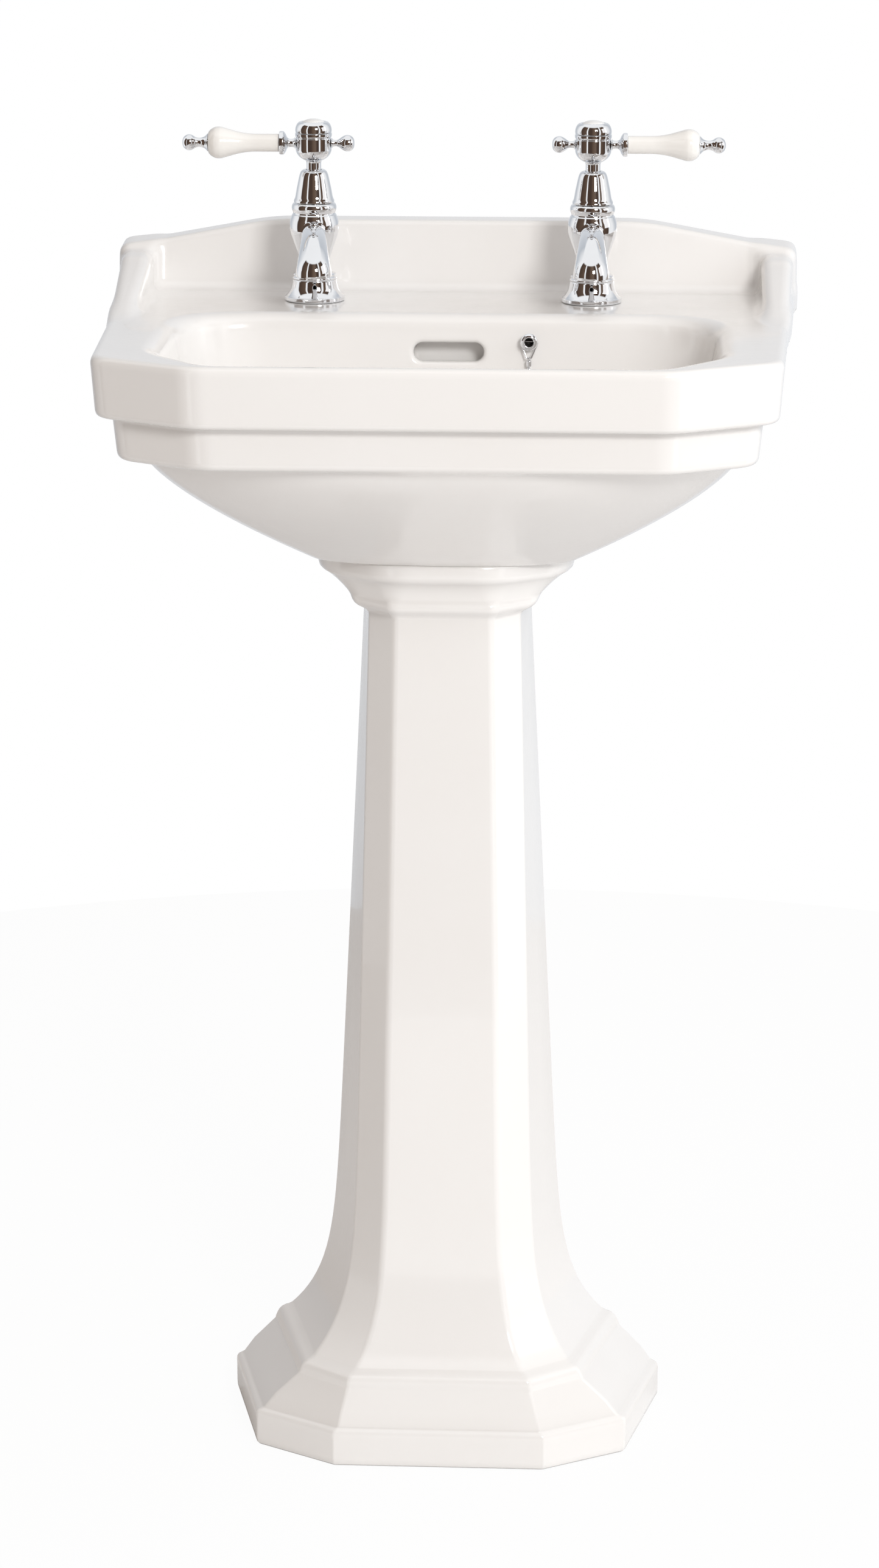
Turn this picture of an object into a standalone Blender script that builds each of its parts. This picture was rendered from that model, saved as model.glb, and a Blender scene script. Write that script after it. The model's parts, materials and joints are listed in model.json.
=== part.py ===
"""Pedestal wash basin with two lever pillar taps, a plug on a ball chain, a slotted waste and a
bottle trap.  Metres, +Z up.  The floor is Z = 0, the wall is the plane Y = WALL_Y, the user stands
on the -Y side, and X = 0 is the plane of symmetry."""

import math

import bmesh
import bpy
from mathutils import Matrix, Vector

# ---- Driving dimensions ------------------------------------------------------------------------
GAP = 0.0003                 # left between touching pieces
WALL_Y = 0.200               # back of the basin
RIM_Z = 0.842                # top of the rim and the tap deck
DECK = 0.012                 # thickness of the china under the taps

RIM_FRONT_Y = -0.197         # plan of the rim: a front edge, two chamfers, two splayed sides
RIM_FRONT_X = 0.1635
RIM_SIDE_X, RIM_SIDE_Y = 0.2355, -0.155
RIM_BACK_X = 0.2550
BAND_1_Z = 0.799             # lower edge of the upper apron band
BAND_2_Z = 0.768             # lower edge of the lower apron band
BAND_TAPER = 0.0030          # each band draws in by this much on its way down
BAND_STEP = 0.0110           # the lower band stands back from the upper one
BELLY_HALF_X = 0.2105        # the rounded underside where it leaves the apron
BELLY_FRONT_Y = -0.172
BELLY_CURVE = 1.386          # how fast it swells in towards the seat
BELLY_BACK_Y = 0.085
BELLY_STEPS = 18
SEAT_Z = 0.677               # where the underside sits on the pedestal
SEAT_HALF_X, SEAT_FRONT_Y = 0.0945, -0.056
BOWL_BACK_Y = 0.040          # back edge of the bowl at the rim
BOWL_FRONT_Y = -0.179
BOWL_HALF_X = 0.193
BOWL_FLOOR_Z = 0.690
BOSS_Z = 0.660               # bottom of the boss round the waste

UPSTAND_FRONT_Y = 0.160      # splashback: its face at the deck, and its height
UPSTAND_TOP_Z = 0.893
UPSTAND_FLAT_X = 0.140       # half the level length of its top edge
SHOULDER_Z = 0.8745
WING_INNER_X = 0.2285        # side wings that run forward from it
WING_FLAT_Y, WING_END_Y = 0.135, 0.010

TAP_X, TAP_Y = 0.1025, 0.108
TAP_HOLE_R = 0.0125
TAIL_R, TAIL_END = 0.0104, -0.052
CHAMBER_R, CHAMBER_FLOOR = 0.0101, 0.0400
HOT_TAP_TURN = math.radians(4)   # the hot spout points slightly towards the middle of the bowl
BODY_TOP = 0.0720            # heights on the tap are above the deck
LEVER_H = 0.1154

WASTE_Y = -0.004
WASTE_R = 0.0205
WASTE_HOLE_R = 0.0215
OVERFLOW_Z, OVERFLOW_HALF_X, OVERFLOW_HALF_H = 0.8150, 0.0255, 0.00675
STAY_X, STAY_Z = 0.0585, 0.8240

PEDESTAL_BACK_Y = 0.033
PEDESTAL_WALL = 0.010
PLINTH_Z, LEDGE_Z, COLUMN_TOP_Z = 0.025, 0.070, 0.634
FLARE_LENGTH = 0.030         # how fast the foot's concave flare dies away going up

BODY_STEPS, SMALL_STEPS = 20, 12

for old in list(bpy.data.objects):
    bpy.data.objects.remove(old, do_unlink=True)


# ---- Materials ---------------------------------------------------------------------------------
def material(name, colour, roughness, metallic=0.0):
    made = bpy.data.materials.new(name)
    made.use_nodes = True
    shader = made.node_tree.nodes["Principled BSDF"]
    shader.inputs["Base Color"].default_value = (*colour, 1.0)
    shader.inputs["Roughness"].default_value = roughness
    shader.inputs["Metallic"].default_value = metallic
    made.diffuse_color = (*colour, 1.0)
    return made


CHINA = material("glazed_china", (0.87, 0.84, 0.81), 0.08)
CHROME = material("chrome", (0.80, 0.81, 0.83), 0.05, 1.0)
PORCELAIN = material("cream_porcelain", (0.90, 0.87, 0.80), 0.10)
DISC = material("index_ceramic", (0.93, 0.93, 0.92), 0.12)
BRASS = material("brass", (0.72, 0.55, 0.26), 0.30, 1.0)
ALUMINA = material("valve_ceramic", (0.88, 0.87, 0.84), 0.25)
RUBBER = material("black_rubber", (0.03, 0.03, 0.03), 0.60)
PLASTIC = material("white_plastic", (0.86, 0.86, 0.85), 0.35)
STEEL = material("screw_steel", (0.60, 0.61, 0.62), 0.30, 1.0)


# ---- Shape helpers -----------------------------------------------------------------------------
def finish(bm, name, look, at=(0, 0, 0), parent=None, turn=None):
    """Turns a bmesh into an object whose faces point outwards."""
    bmesh.ops.remove_doubles(bm, verts=bm.verts, dist=1e-6)
    bmesh.ops.recalc_face_normals(bm, faces=bm.faces)
    mesh = bpy.data.meshes.new(name)
    bm.to_mesh(mesh)
    bm.free()
    mesh.shade_smooth()
    mesh.set_sharp_from_angle(angle=math.radians(35))
    mesh.materials.append(look)
    made = bpy.data.objects.new(name, mesh)
    bpy.context.collection.objects.link(made)
    made.location = at
    if turn is not None:
        made.rotation_euler = turn
    made.parent = parent
    return made


def turned(profile, steps=BODY_STEPS, ring=False):
    """A turned solid about Z.  The profile is (radius, height) points; a ring's profile closes on
    itself and never meets the axis."""
    bm = bmesh.new()
    row = [bm.verts.new((r, 0, h)) for r, h in profile]
    edges = [bm.edges.new(pair) for pair in zip(row, row[1:])]
    if ring:
        edges.append(bm.edges.new((row[-1], row[0])))
    bmesh.ops.spin(bm, geom=row + edges, axis=(0, 0, 1), cent=(0, 0, 0), steps=steps,
                   angle=2 * math.pi)
    bmesh.ops.remove_doubles(bm, verts=bm.verts, dist=1e-6)
    return bm


def tube_ring(inner, outer, low, high, steps=BODY_STEPS):
    """A plain washer or sleeve."""
    return turned([(inner, low), (outer, low), (outer, high), (inner, high)], steps, ring=True)


def loft(sections):
    """A closed solid through sections that all have the same number of points."""
    bm = bmesh.new()
    rows = [[bm.verts.new(p) for p in section] for section in sections]
    count = len(rows[0])
    for low, high in zip(rows, rows[1:]):
        for i in range(count):
            j = (i + 1) % count
            bm.faces.new((low[i], low[j], high[j], high[i]))
    bm.faces.new(rows[0])
    bm.faces.new(rows[-1])
    return bm


def rounded(corners, radii, steps):
    """A convex plan outline whose corners are arcs of the given radii, steps + 1 points each."""
    points = []
    for i, corner in enumerate(corners):
        here = Vector(corner)
        back = (Vector(corners[i - 1]) - here).normalized()
        ahead = (Vector(corners[(i + 1) % len(corners)]) - here).normalized()
        half = back.angle(ahead) / 2
        radius = radii[i] if isinstance(radii, (list, tuple)) else radii
        centre = here + (back + ahead).normalized() * radius / math.sin(half)
        start = here + back * radius / math.tan(half) - centre
        end = here + ahead * radius / math.tan(half) - centre
        sweep = start.angle(end)
        for k in range(steps + 1):
            t = k / steps
            points.append(centre + (start * math.sin((1 - t) * sweep) + end * math.sin(t * sweep))
                          / math.sin(sweep))
    return points


def at_height(outline, z):
    return [(p.x, p.y, z) for p in outline]


def swept(path, radii, steps=SMALL_STEPS, closed=False):
    """A round bar along a path in a plane of constant X, or any smooth path, with a radius at
    each point."""
    bm = bmesh.new()
    points = [Vector(p) for p in path]
    count = len(points)
    rows = []
    side = None
    for i, point in enumerate(points):
        if closed:
            along = points[(i + 1) % count] - points[i - 1]
        else:
            along = points[min(i + 1, count - 1)] - points[max(i - 1, 0)]
        along.normalize()
        if side is None:
            side = along.orthogonal().normalized()
        side = (side - along * side.dot(along)).normalized()
        up = along.cross(side)
        row = []
        for k in range(steps):
            a = 2 * math.pi * k / steps
            row.append(bm.verts.new(point + (side * math.cos(a) + up * math.sin(a)) * radii[i]))
        rows.append(row)
    pairs = list(zip(rows, rows[1:]))
    if closed:
        pairs.append((rows[-1], rows[0]))
    for low, high in pairs:
        for k in range(steps):
            m = (k + 1) % steps
            bm.faces.new((low[k], low[m], high[m], high[k]))
    if not closed:
        bm.faces.new(rows[0])
        bm.faces.new(rows[-1])
    return bm


def box(low, high):
    bm = bmesh.new()
    size = Vector(high) - Vector(low)
    middle = (Vector(high) + Vector(low)) / 2
    bmesh.ops.create_cube(bm, size=1, matrix=Matrix.Translation(middle) @ Matrix.Diagonal((*size, 1)))
    return bm


def prism(outline, low, high):
    """A plan outline extruded between two heights."""
    return loft([[(x, y, low) for x, y in outline], [(x, y, high) for x, y in outline]])


def hexagon(radius, low, high, bore):
    """A nut: a hexagonal block with a round bore."""
    bm = bmesh.new()
    steps = 24
    rows = []
    for z, hexed in ((low, True), (high, True), (high, False), (low, False)):
        row = []
        for k in range(steps):
            a = 2 * math.pi * k / steps
            flat = (a % (math.pi / 3)) - math.pi / 6
            r = radius * math.cos(math.pi / 6) / math.cos(flat) if hexed else bore
            row.append(bm.verts.new((r * math.cos(a), r * math.sin(a), z)))
        rows.append(row)
    rows.append(rows[0])
    for one, other in zip(rows, rows[1:]):
        for k in range(steps):
            m = (k + 1) % steps
            bm.faces.new((one[k], one[m], other[m], other[k]))
    return bm


def helper(bm, name, parent=None):
    """A shape that only serves in a Boolean."""
    made = finish(bm, name, CHINA, parent=parent)
    made.hide_render = True
    made.display_type = "WIRE"
    return made


def combine(target, other, operation):
    step = target.modifiers.new(operation.title(), "BOOLEAN")
    step.operation = operation
    step.solver = "EXACT"
    step.object = other


def empty(name, at):
    made = bpy.data.objects.new(name, None)
    bpy.context.collection.objects.link(made)
    made.location = at
    return made


# ---- Basin -------------------------------------------------------------------------------------
def side_x(y):
    """Half the basin's width at the rim, on the splayed sides."""
    return RIM_SIDE_X + (RIM_BACK_X - RIM_SIDE_X) * (y - RIM_SIDE_Y) / (WALL_Y - RIM_SIDE_Y)


def apron_outline(inset):
    """Plan of the apron, drawn in by the inset on every side but the back."""
    corners = [
        (RIM_FRONT_X - 0.6 * inset, RIM_FRONT_Y + inset),
        (RIM_SIDE_X - inset, RIM_SIDE_Y + 0.5 * inset),
        (RIM_BACK_X - inset, WALL_Y),
    ]
    right = [0.012, 0.016, 0.006]
    mirrored = [(-x, y) for x, y in reversed(corners)]
    return rounded(corners + mirrored, right + right[::-1], 3)


def belly_outline(z):
    """Plan of the swelling underside: an oval front half and nearly straight sides behind it."""
    t = ((BAND_2_Z - z) / (BAND_2_Z - SEAT_Z)) ** BELLY_CURVE
    half_x = BELLY_HALF_X + (SEAT_HALF_X - BELLY_HALF_X) * t
    front = BELLY_FRONT_Y + (SEAT_FRONT_Y - BELLY_FRONT_Y) * t
    middle = -0.075 + 0.050 * t
    power = 2 / (2.5 - 0.4 * t)
    points = []
    for k in range(BELLY_STEPS + 1):
        a = math.pi * k / BELLY_STEPS
        x = -math.cos(a)
        points.append(Vector((math.copysign(abs(x) ** power, x) * half_x,
                              middle + (front - middle) * math.sin(a) ** power)))
    return points + [Vector((0.94 * half_x, BELLY_BACK_Y)), Vector((-0.94 * half_x, BELLY_BACK_Y))]


BOWL = [  # height, back, front, half width, corner softness
    (RIM_Z + 0.008, BOWL_BACK_Y + 0.002, BOWL_FRONT_Y - 0.002, BOWL_HALF_X + 0.002, 0.060),
    (RIM_Z - 0.002, BOWL_BACK_Y, BOWL_FRONT_Y, BOWL_HALF_X, 0.058),
    (RIM_Z - 0.042, 0.0370, -0.1690, 0.1860, 0.056),
    (0.770, 0.0355, -0.1560, 0.1770, 0.054),
    (0.740, 0.0340, -0.1340, 0.1600, 0.052),
    (0.718, 0.0325, -0.1060, 0.1360, 0.046),
    (0.703, 0.0310, -0.0800, 0.1060, 0.040),
    (0.694, 0.0290, -0.0560, 0.0700, 0.032),
    (BOWL_FLOOR_Z, 0.0270, -0.0400, 0.0420, 0.024),
]


def bowl_outline(back, front, half_x, soft):
    """The bowl follows the rim at the front and is straight at the back."""
    depth = back - front
    corners = [
        (0.78 * half_x, front),
        (half_x, front + 0.24 * depth),
        (half_x, back),
    ]
    corners += [(-x, y) for x, y in reversed(corners)]
    tight = 0.55 * soft
    return rounded(corners, [tight, soft, soft, soft, soft, tight], 5)


def make_basin():
    rows = [(RIM_Z, 0.003), (RIM_Z - 0.003, 0.0), (BAND_1_Z + 0.004, BAND_TAPER),
            (BAND_1_Z, BAND_TAPER + 0.004),
            (BAND_1_Z - 0.003, BAND_TAPER + BAND_STEP),
            (BAND_2_Z + 0.004, 2 * BAND_TAPER + BAND_STEP),
            (BAND_2_Z, 2 * BAND_TAPER + BAND_STEP + 0.005)]
    basin = finish(loft([at_height(apron_outline(d), z) for z, d in rows]), "basin", CHINA)

    heights = [BAND_2_Z + 0.006 - (BAND_2_Z + 0.006 - SEAT_Z) * k / 9 for k in range(10)]
    belly = loft([at_height(belly_outline(min(z, BAND_2_Z)), z) for z in heights])
    combine(basin, helper(belly, "basin_belly"), "UNION")

    boss = [(0.036, -0.030), (0.036, 0.085), (-0.036, 0.085), (-0.036, -0.030)]
    boss = rounded(boss, [0.020, 0.002, 0.002, 0.020], 4)
    boss = loft([at_height(boss, BOSS_Z), at_height(boss, SEAT_Z + 0.012)])
    combine(basin, helper(boss, "basin_boss"), "UNION")

    back = WALL_Y - GAP
    lean = UPSTAND_FRONT_Y + 0.012
    outer = RIM_BACK_X - 0.001
    low = RIM_Z - 0.006
    face = [(-outer, low), (outer, low), (outer, SHOULDER_Z - 0.010), (outer - 0.003, SHOULDER_Z - 0.003),
            (outer - 0.011, SHOULDER_Z), (UPSTAND_FLAT_X, UPSTAND_TOP_Z), (-UPSTAND_FLAT_X, UPSTAND_TOP_Z),
            (-outer + 0.011, SHOULDER_Z), (-outer + 0.003, SHOULDER_Z - 0.003),
            (-outer, SHOULDER_Z - 0.010)]
    front = []
    for x, z in face:
        share = (z - low) / (UPSTAND_TOP_Z - low)
        front.append((x, UPSTAND_FRONT_Y + (lean - UPSTAND_FRONT_Y) * share, z))
    upstand = loft([front, [(x, back, z) for x, z in face]])
    combine(basin, helper(upstand, "basin_upstand"), "UNION")

    wing = [(WALL_Y - 0.004, low), (WALL_Y - 0.004, SHOULDER_Z - 0.0006), (WING_FLAT_Y, SHOULDER_Z - 0.006),
            (WING_END_Y + 0.020, RIM_Z + 0.003), (WING_END_Y - 0.045, RIM_Z - 0.001),
            (WING_END_Y - 0.050, low)]
    for sign, side in ((1, "right"), (-1, "left")):
        inner = [(sign * (WING_INNER_X - 0.010 * (WALL_Y - y)), y, z) for y, z in wing]
        outer_row = [(sign * (side_x(y) - 0.0012), y, z) for y, z in wing]
        combine(basin, helper(loft([inner, outer_row]), "basin_wing_" + side), "UNION")

    bowl = [at_height(bowl_outline(*row[1:]), row[0]) for row in BOWL]
    combine(basin, helper(loft(bowl), "basin_bowl"), "DIFFERENCE")

    cavity = [(0.034, 0.052), (0.205, 0.052), (0.219, 0.184), (-0.219, 0.184), (-0.205, 0.052),
              (-0.034, 0.052), (-0.034, 0.076), (0.034, 0.076)]
    combine(basin, helper(prism(cavity, BOSS_Z - 0.02, RIM_Z - DECK), "basin_cavity"), "DIFFERENCE")

    combine(basin, helper(box((-0.022, 0.050, 0.671), (0.022, 0.063, OVERFLOW_Z + 0.004)),
                          "overflow_duct"), "DIFFERENCE")
    slot = rounded([(OVERFLOW_HALF_X, -OVERFLOW_HALF_H), (OVERFLOW_HALF_X, OVERFLOW_HALF_H),
                    (-OVERFLOW_HALF_X, OVERFLOW_HALF_H), (-OVERFLOW_HALF_X, -OVERFLOW_HALF_H)],
                   OVERFLOW_HALF_H - 0.0005, 4)
    mouth = loft([[(p.x, 0.020, OVERFLOW_Z + p.y) for p in slot],
                  [(0.85 * p.x, 0.056, OVERFLOW_Z + p.y) for p in slot]])
    combine(basin, helper(mouth, "overflow_mouth"), "DIFFERENCE")
    combine(basin, helper(box((-0.012, WASTE_Y, 0.6715), (0.012, 0.051, 0.6815)), "overflow_leg"),
            "DIFFERENCE")

    waste = turned([(0, BOSS_Z - 0.01), (WASTE_HOLE_R, BOSS_Z - 0.01), (WASTE_HOLE_R, BOWL_FLOOR_Z + 0.004),
                    (0, BOWL_FLOOR_Z + 0.004)])
    waste.transform(Matrix.Translation((0, WASTE_Y, 0)))
    combine(basin, helper(waste, "waste_hole"), "DIFFERENCE")
    for sign, side in ((1, "cold"), (-1, "hot")):
        hole = turned([(0, RIM_Z - DECK - 0.01), (TAP_HOLE_R, RIM_Z - DECK - 0.01),
                       (TAP_HOLE_R, RIM_Z + 0.01), (0, RIM_Z + 0.01)])
        hole.transform(Matrix.Translation((sign * TAP_X, TAP_Y, 0)))
        combine(basin, helper(hole, side + "_tap_hole"), "DIFFERENCE")
    stay = turned([(0, 0.0), (0.0033, 0.0), (0.0033, 0.030), (0, 0.030)], 12)
    stay.transform(Matrix.Translation((STAY_X, 0.030, STAY_Z)) @ Matrix.Rotation(-math.pi / 2, 4, "X"))
    combine(basin, helper(stay, "stay_hole"), "DIFFERENCE")


# ---- Pedestal ----------------------------------------------------------------------------------
def pedestal_outline(front_y, front_x, corner_x, corner_y, back_x, soft, back_y=PEDESTAL_BACK_Y):
    corners = [(front_x, front_y), (corner_x, corner_y), (back_x, back_y)]
    corners += [(-x, y) for x, y in reversed(corners)]
    return rounded(corners, [soft, soft, 0.002, 0.002, soft, soft], 2)


def column_plan(z):
    """Plan of the column: straight tapers plus the flare at the foot."""
    down = COLUMN_TOP_Z - z
    flare = math.exp(-(z - LEDGE_Z) / FLARE_LENGTH)
    return (-0.041 - 0.0400 * down - 0.0296 * flare,
            0.035 + 0.0168 * down + 0.0190 * flare,
            0.055 + 0.0232 * down + 0.0293 * flare,
            -0.018 - 0.0295 * down - 0.0343 * flare,
            0.0615 + 0.0490 * down + 0.0340 * flare)


def pedestal_rows():
    """Height, then the plan's five numbers and its corner radius, from the floor up."""
    rows = [
        (0.0, -0.1065, 0.0785, 0.1390, -0.0715, 0.1640, 0.004),
        (PLINTH_Z, -0.1065, 0.0785, 0.1390, -0.0715, 0.1640, 0.004),
        (PLINTH_Z + 0.0015, -0.1050, 0.0770, 0.1370, -0.0705, 0.1622, 0.005),
        (LEDGE_Z - 0.006, -0.0985, 0.0670, 0.1020, -0.0720, 0.1285, 0.006),
        (LEDGE_Z, -0.0960, 0.0650, 0.0995, -0.0710, 0.1245, 0.006),
    ]
    for k in range(9):
        z = LEDGE_Z + 0.003 + (COLUMN_TOP_Z - LEDGE_Z - 0.003) * (k / 8) ** 2.0
        rows.append((z, *column_plan(z), 0.008))
    rows += [
        (0.6385, -0.0430, 0.0360, 0.0600, -0.0200, 0.0660, 0.010),
        (0.6450, -0.0465, 0.0370, 0.0670, -0.0220, 0.0705, 0.014),
        (0.6520, -0.0470, 0.0370, 0.0730, -0.0220, 0.0755, 0.018),
        (0.6600, -0.0490, 0.0370, 0.0820, -0.0220, 0.0850, 0.024),
        (0.6660, -0.0555, 0.0380, 0.0895, -0.0210, 0.0925, 0.028),
        (0.6690, -0.0585, 0.0390, 0.0920, -0.0200, 0.0945, 0.030),
        (SEAT_Z - GAP, -0.0585, 0.0390, 0.0920, -0.0200, 0.0945, 0.030),
    ]
    return rows


def make_pedestal():
    rows = pedestal_rows()
    outer = loft([at_height(pedestal_outline(*row[1:]), row[0]) for row in rows])
    pedestal = finish(outer, "pedestal", CHINA)
    inner = []
    for z, front_y, front_x, corner_x, corner_y, back_x, soft in rows[:1] + rows[3::2]:
        t = PEDESTAL_WALL
        plan = pedestal_outline(front_y + t, front_x - 0.5 * t, corner_x - t, corner_y + 0.5 * t,
                                back_x - t, soft * 0.6, PEDESTAL_BACK_Y + 0.02)
        inner.append(at_height(plan, z))
    inner[0] = [(x, y, -0.01) for x, y, _ in inner[0]]
    inner[-1] = [(x, y, SEAT_Z + 0.01) for x, y, _ in inner[-1]]
    combine(pedestal, helper(loft(inner), "pedestal_hollow"), "DIFFERENCE")


# ---- Taps --------------------------------------------------------------------------------------
SPOUT = [  # forward of the tap's axis, height above the deck, outer radius
    (0.0125, 0.0515, 0.0092), (0.0240, 0.0515, 0.0091), (0.0380, 0.0503, 0.0093),
    (0.0510, 0.0466, 0.0101), (0.0615, 0.0404, 0.0112), (0.0680, 0.0340, 0.0123),
    (0.0697, 0.0310, 0.0128), (0.0697, 0.0273, 0.0131),
]
SPOUT_WALL = 0.0026


def make_tap_body(name, stand):
    profile = [
        (0.0062, TAIL_END), (TAIL_R, TAIL_END), (TAIL_R, 0.0015), (0.0208, 0.0015), (0.0208, GAP),
        (0.0222, GAP), (0.0222, 0.0035),
        (0.0168, 0.0095), (0.0156, 0.0185), (0.0128, 0.0205), (0.0114, 0.0290), (0.0150, 0.0405),
        (0.0182, 0.0515), (0.0158, 0.0635), (0.0164, 0.0690), (0.0152, BODY_TOP),
        (CHAMBER_R, BODY_TOP), (CHAMBER_R, CHAMBER_FLOOR), (0.0062, CHAMBER_FLOOR),
    ]
    body = finish(turned(profile, BODY_STEPS, ring=True), name, CHROME, parent=stand)
    path = [(0, -s, h) for s, h, _ in SPOUT]
    radii = [r for _, _, r in SPOUT]
    combine(body, helper(swept(path, radii, 16), name + "_spout", stand), "UNION")
    bore = [(0, -0.006, SPOUT[0][1])] + path[1:-1] + [(0, path[-1][1], path[-1][2] - 0.002)]
    bore_radii = [0.0055] + [0.0060 + 0.5 * (r - SPOUT[0][2]) for r in radii[1:]]
    combine(body, helper(swept(bore, bore_radii, 12), name + "_waterway", stand), "DIFFERENCE")


def make_tap_fixings(prefix, stand):
    under = -DECK
    finish(tube_ring(TAIL_R + 0.0004, 0.0203, GAP, 0.0012), prefix + "_deck_washer", RUBBER, parent=stand)
    washer = turned([(TAIL_R + 0.0004, under + 0.004), (TAP_HOLE_R - 0.0004, under + 0.004),
                     (TAP_HOLE_R - 0.0004, under - GAP), (0.0185, under - GAP), (0.0185, under - 0.0025),
                     (TAIL_R + 0.0004, under - 0.0025)], BODY_STEPS, ring=True)
    finish(washer, prefix + "_tophat_washer", PLASTIC, parent=stand)
    top = under - 0.0025 - GAP
    nut = turned([(TAIL_R + GAP, top - 0.009), (0.0150, top - 0.009), (0.0175, top - 0.003),
                  (0.0175, top), (TAIL_R + GAP, top)], BODY_STEPS, ring=True)
    finish(nut, prefix + "_backnut", BRASS, parent=stand)


def make_headwork(prefix, stand):
    """Quarter-turn valve: a brass cartridge with a fixed and a turning ceramic disc."""
    seat = CHAMBER_FLOOR + GAP
    sleeve = 0.0095
    cartridge = turned([
        (0.0070, seat), (sleeve, seat), (sleeve, 0.0440), (0.0084, 0.0450), (0.0084, 0.0580),
        (sleeve, 0.0590), (sleeve, BODY_TOP + GAP), (0.0112, BODY_TOP + GAP), (0.0112, 0.0760),
        (0.0072, 0.0770), (0.0072, 0.0880), (0.0044, 0.0880), (0.0044, 0.0540), (0.0070, 0.0540),
    ], 20, ring=True)
    cartridge = finish(cartridge, prefix + "_headwork", BRASS, parent=stand)
    window = box((-0.0040, -0.0120, 0.0475), (0.0040, -0.0050, 0.0535))
    combine(cartridge, helper(window, prefix + "_headwork_window", stand), "DIFFERENCE")
    for piece, low, high, start in (("_fixed_disc", 0.0408, 0.0437, 0),
                                    ("_moving_disc", 0.0440, 0.0470, 1)):
        rim = [(0.0067 * math.cos(a), 0.0067 * math.sin(a)) for a in
               [math.pi * k / 8 for k in range(16)]]
        # a half-moon window, drawn as a notch in the disc's edge
        notch = [(0.0040, 0.0030), (0.0040, -0.0030)]
        outline = [p for p in rim if not (p[0] > 0.0045 and abs(p[1]) < 0.0045)]
        split = next(i for i, p in enumerate(outline) if p[0] > 0 and p[1] > 0)
        outline = outline[split:] + outline[:split] + [notch[1], notch[0]]
        if start:
            outline = [(-x, -y) for x, y in outline]
        finish(prism(outline, low, high), prefix + piece, ALUMINA, parent=stand)


def make_bonnet(prefix, stand):
    low = BODY_TOP + GAP
    profile = [
        (0.0122, low), (0.0149, low), (0.0148, low + 0.0014), (0.0139, 0.0765), (0.0129, 0.0815),
        (0.0112, 0.0895), (0.0093, 0.0950), (0.0066, 0.0963), (0.0060, 0.0963), (0.0060, 0.0945),
        (0.0092, 0.0878), (0.0110, 0.0805), (0.0115, 0.0762),
    ]
    finish(turned(profile, BODY_STEPS, ring=True), prefix + "_bonnet", CHROME, parent=stand)


HUB_R = 0.0132
HUB_LOW, HUB_HIGH = 0.0950, 0.1228
SPINDLE_R, SPINDLE_TOP = 0.0040, 0.1130


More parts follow.
